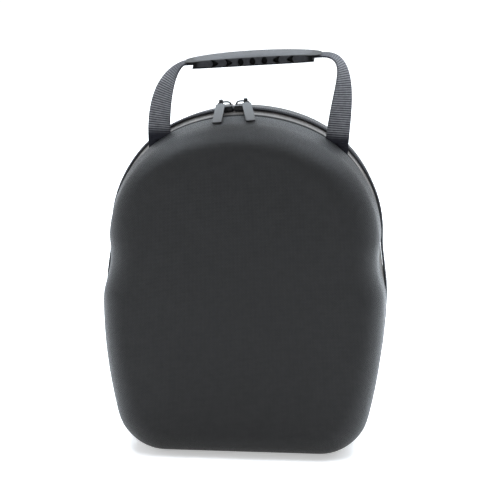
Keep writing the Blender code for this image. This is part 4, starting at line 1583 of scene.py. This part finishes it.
@dataclass(frozen=True)
class SoftLight:
    """An area light: where it hangs, where it aims, its size, power and colour."""

    name: str
    place: tuple
    aim: tuple
    size: tuple
    power: float
    colour: tuple = (1.0, 1.0, 1.0)

    def hang(self) -> None:
        """Put the light in the scene."""
        lamp = bpy.data.lights.new(self.name, "AREA")
        lamp.shape = "RECTANGLE"
        lamp.size, lamp.size_y = self.size
        lamp.energy = self.power
        lamp.color = self.colour
        item = bpy.data.objects.new(self.name, lamp)
        bpy.context.scene.collection.objects.link(item)
        toward = Vector(self.aim) - Vector(self.place)
        turn = toward.to_track_quat("-Z", "Y").to_matrix().to_4x4()
        item.matrix_world = Matrix.Translation(self.place) @ turn


@dataclass
class Studio:
    """Pale floor that curves up to a backdrop, soft lights, and the camera."""

    target: tuple = (0.0, -0.040, 0.150)
    distance: float = 1.6
    azimuth: float = math.radians(3.5)
    elevation: float = math.radians(16.0)
    roll: float = math.radians(0.45)
    shift_right: float = 0.0054
    shift_up: float = 0.0299
    lens: float = 136.6
    sky: tuple = (0.95, 0.97, 1.0)
    sky_strength: float = 0.30
    lights: tuple = (
        SoftLight("over_light", (0.10, -0.20, 1.55), (0.0, 0.0, 0.25), (1.4, 0.8), 28.0, (0.90, 0.95, 1.0)),
        SoftLight("rear_light", (0.0, 0.80, 1.35), (0.0, 0.0, 0.28), (1.8, 0.6), 62.0, (0.82, 0.91, 1.0)),
        SoftLight("left_light", (-1.5, -0.5, 0.8), (0.0, 0.0, 0.12), (0.9, 1.1), 8.0, (0.90, 0.96, 1.0)),
        SoftLight("right_light", (1.2, 0.25, 1.1), (0.0, 0.0, 0.20), (0.9, 0.9), 10.0, (0.86, 0.93, 1.0)),
        SoftLight("front_light", (0.0, -2.1, 1.0), (0.0, 0.0, 0.15), (1.6, 1.0), 3.0),
    )

    def build_backdrop(self, finish: bpy.types.Material) -> bpy.types.Object:
        """Build the floor and backdrop as one curved sheet.

        Args:
            finish: Its material.

        Returns:
            The sheet.
        """
        bend = 1.2
        profile = [(-5.0, 0.0), (-2.0, 0.0), (0.0, 0.0), (2.2, 0.0)]
        for index in range(1, 17):
            angle = math.pi / 2.0 * index / 16.0
            profile.append((2.2 + bend * math.sin(angle), bend * (1.0 - math.cos(angle))))
        profile.append((2.2 + bend, 6.0))
        rows = np.array([[(x, y, z) for x in np.linspace(-6.0, 6.0, 13)] for y, z in profile])
        sketch = MeshSketch()
        sketch.add(rows, np.zeros((len(profile), 13, 2)), ring=False)
        sheet = sketch.finish("studio_sweep", [finish])
        return sheet

    def aim_camera(self) -> None:
        """Put the camera at the photograph's angle."""
        right = Vector((math.cos(self.azimuth), math.sin(self.azimuth), 0.0))
        back = Vector((math.sin(self.azimuth) * math.cos(self.elevation),
                       -math.cos(self.azimuth) * math.cos(self.elevation), math.sin(self.elevation)))
        up = back.cross(right)
        rolled_right = right * math.cos(self.roll) + up * math.sin(self.roll)
        rolled_up = up * math.cos(self.roll) - right * math.sin(self.roll)
        place = (Vector(self.target) + back * self.distance + rolled_right * self.shift_right
                 + rolled_up * self.shift_up)
        lens = bpy.data.cameras.new("camera")
        lens.lens = self.lens
        lens.sensor_width = 36.0
        camera = bpy.data.objects.new("camera", lens)
        bpy.context.scene.collection.objects.link(camera)
        turn = Matrix((rolled_right, rolled_up, back)).transposed().to_4x4()
        camera.matrix_world = Matrix.Translation(place) @ turn
        bpy.context.scene.camera = camera

    def light_sky(self) -> None:
        """Give the world an even pale light."""
        world = bpy.data.worlds.new("studio_air")
        world.use_nodes = True
        air = world.node_tree.nodes["Background"]
        air.inputs["Color"].default_value = (*self.sky, 1.0)
        air.inputs["Strength"].default_value = self.sky_strength
        bpy.context.scene.world = world

    def build(self, finish: bpy.types.Material) -> list:
        """Build the studio and return its sheet in a list.

        Args:
            finish: The sheet's material.

        Returns:
            The sheet in a list.
        """
        self.aim_camera()
        self.light_sky()
        for light in self.lights:
            light.hang()
        bpy.context.scene.view_settings.view_transform = "Standard"
        return [self.build_backdrop(finish)]


def make_finishes(effects: SharedEffects, route: HandleRoute) -> dict:
    """Make every material of the case.

    Args:
        effects: The shared node groups.
        route: Where the grip lies, for the finish that is dark in its pockets.

    Returns:
        Materials by a short name.
    """
    recipes = {
        "shell": WovenFinish("shell_woven_nylon", (0.0035, 0.0034, 0.0034), 0.43, specular=0.19, sheen=0.02,
                             sheen_tint=(0.80, 0.88, 1.0), grain_scale=1500.0, grain_bump=0.4, dust=0.01,
                             light_thread=(0.0125, 0.012, 0.0118)),
        "tape": WovenFinish("tape_woven_polyester", (0.125, 0.116, 0.110), 0.85, specular=0.1, sheen=0.0,
                            warp_pitch=0.0010, weft_pitch=0.0007, light_thread=(0.230, 0.216, 0.206),
                            dust=0.06, shadow_start=0.0088),
        "coil": Finish("coil_nylon_strand", (0.040, 0.038, 0.043), 0.60, specular=0.2, unevenness=0.05),
        "core": Finish("coil_dark_core", (0.010, 0.010, 0.011), 0.8),
        "thread": Finish("stitch_thread", (0.045, 0.043, 0.042), 0.7, sheen=0.2),
        "enamel": Finish("slider_black_enamel", (0.004, 0.004, 0.005), 0.30, specular=0.3, coat=0.2,
                         coat_roughness=0.1,
                         unevenness=0.05),
        "pull": Finish("pull_grey_paint", (0.070, 0.070, 0.070), 0.6, specular=0.15, grain_scale=2500.0,
                       grain_bump=0.15, unevenness=0.04),
        "pull_side": Finish("pull_dark_side", (0.022, 0.022, 0.024), 0.45, unevenness=0.05),
        "webbing": WebbingFinish("ribbed_webbing", (0.125, 0.125, 0.133), 0.75, specular=0.15, sheen=0.05,
                                 grain_scale=2600.0, grain_bump=0.9, dust=0.05),
        # The rubber's stronger upward layer paints light on the grip's lit top; its pockets and channel
        # take painted shade.
        "rubber": MouldedFinish("grip_moulded_rubber", (0.024, 0.024, 0.026), 0.55, specular=0.07,
                                grain_scale=2200.0, grain_bump=0.35, dust=0.10, centre=route.grip_centre(),
                                tilt=-route.grip_tilt),
        "hinge": WovenFinish("hinge_black_cloth", (0.014, 0.014, 0.015), 0.8, sheen=0.1),
        "sweep": Finish("pale_sweep", (0.90, 0.90, 0.90), 0.9, specular=0.1, unevenness=0.0, glow=0.42),
    }
    return {title: recipe.material(effects) for title, recipe in recipes.items()}


def main() -> None:
    """Build the sub-assemblies in order and report each piece."""
    outline = CaseOutline()
    route = HandleRoute(outline)
    sizes = SliderSizes()
    finishes = make_finishes(SharedEffects(), route)
    assemblies = [CaseShell(outline, side, finishes["shell"]) for side in Side]
    assemblies.append(ZipBand(outline, finishes["tape"], finishes["coil"], finishes["core"],
                              finishes["thread"]))
    for hand, splay in ((Hand.LEFT, LEFT_SPLAY), (Hand.RIGHT, RIGHT_SPLAY)):
        assemblies.append(ZipSlider(outline, sizes, hand, finishes["enamel"]))
        assemblies.append(PullTab(outline, sizes, hand, splay, finishes["pull"], finishes["pull_side"],
                                  finishes["enamel"]))
    assemblies += [HandleStrap(route, finishes["webbing"]), HandleGrip(route, finishes["rubber"]),
                   HingeStrip(outline, finishes["hinge"])]
    for assembly in assemblies:
        for piece in assembly.build():
            LOG.info("%s: %d faces", piece.name, len(piece.data.polygons))
    for sheet in Studio().build(finishes["sweep"]):
        LOG.info("%s: stage", sheet.name)


if __name__ == "__main__":
    logging.basicConfig(level=logging.INFO, format="%(message)s")
    main()
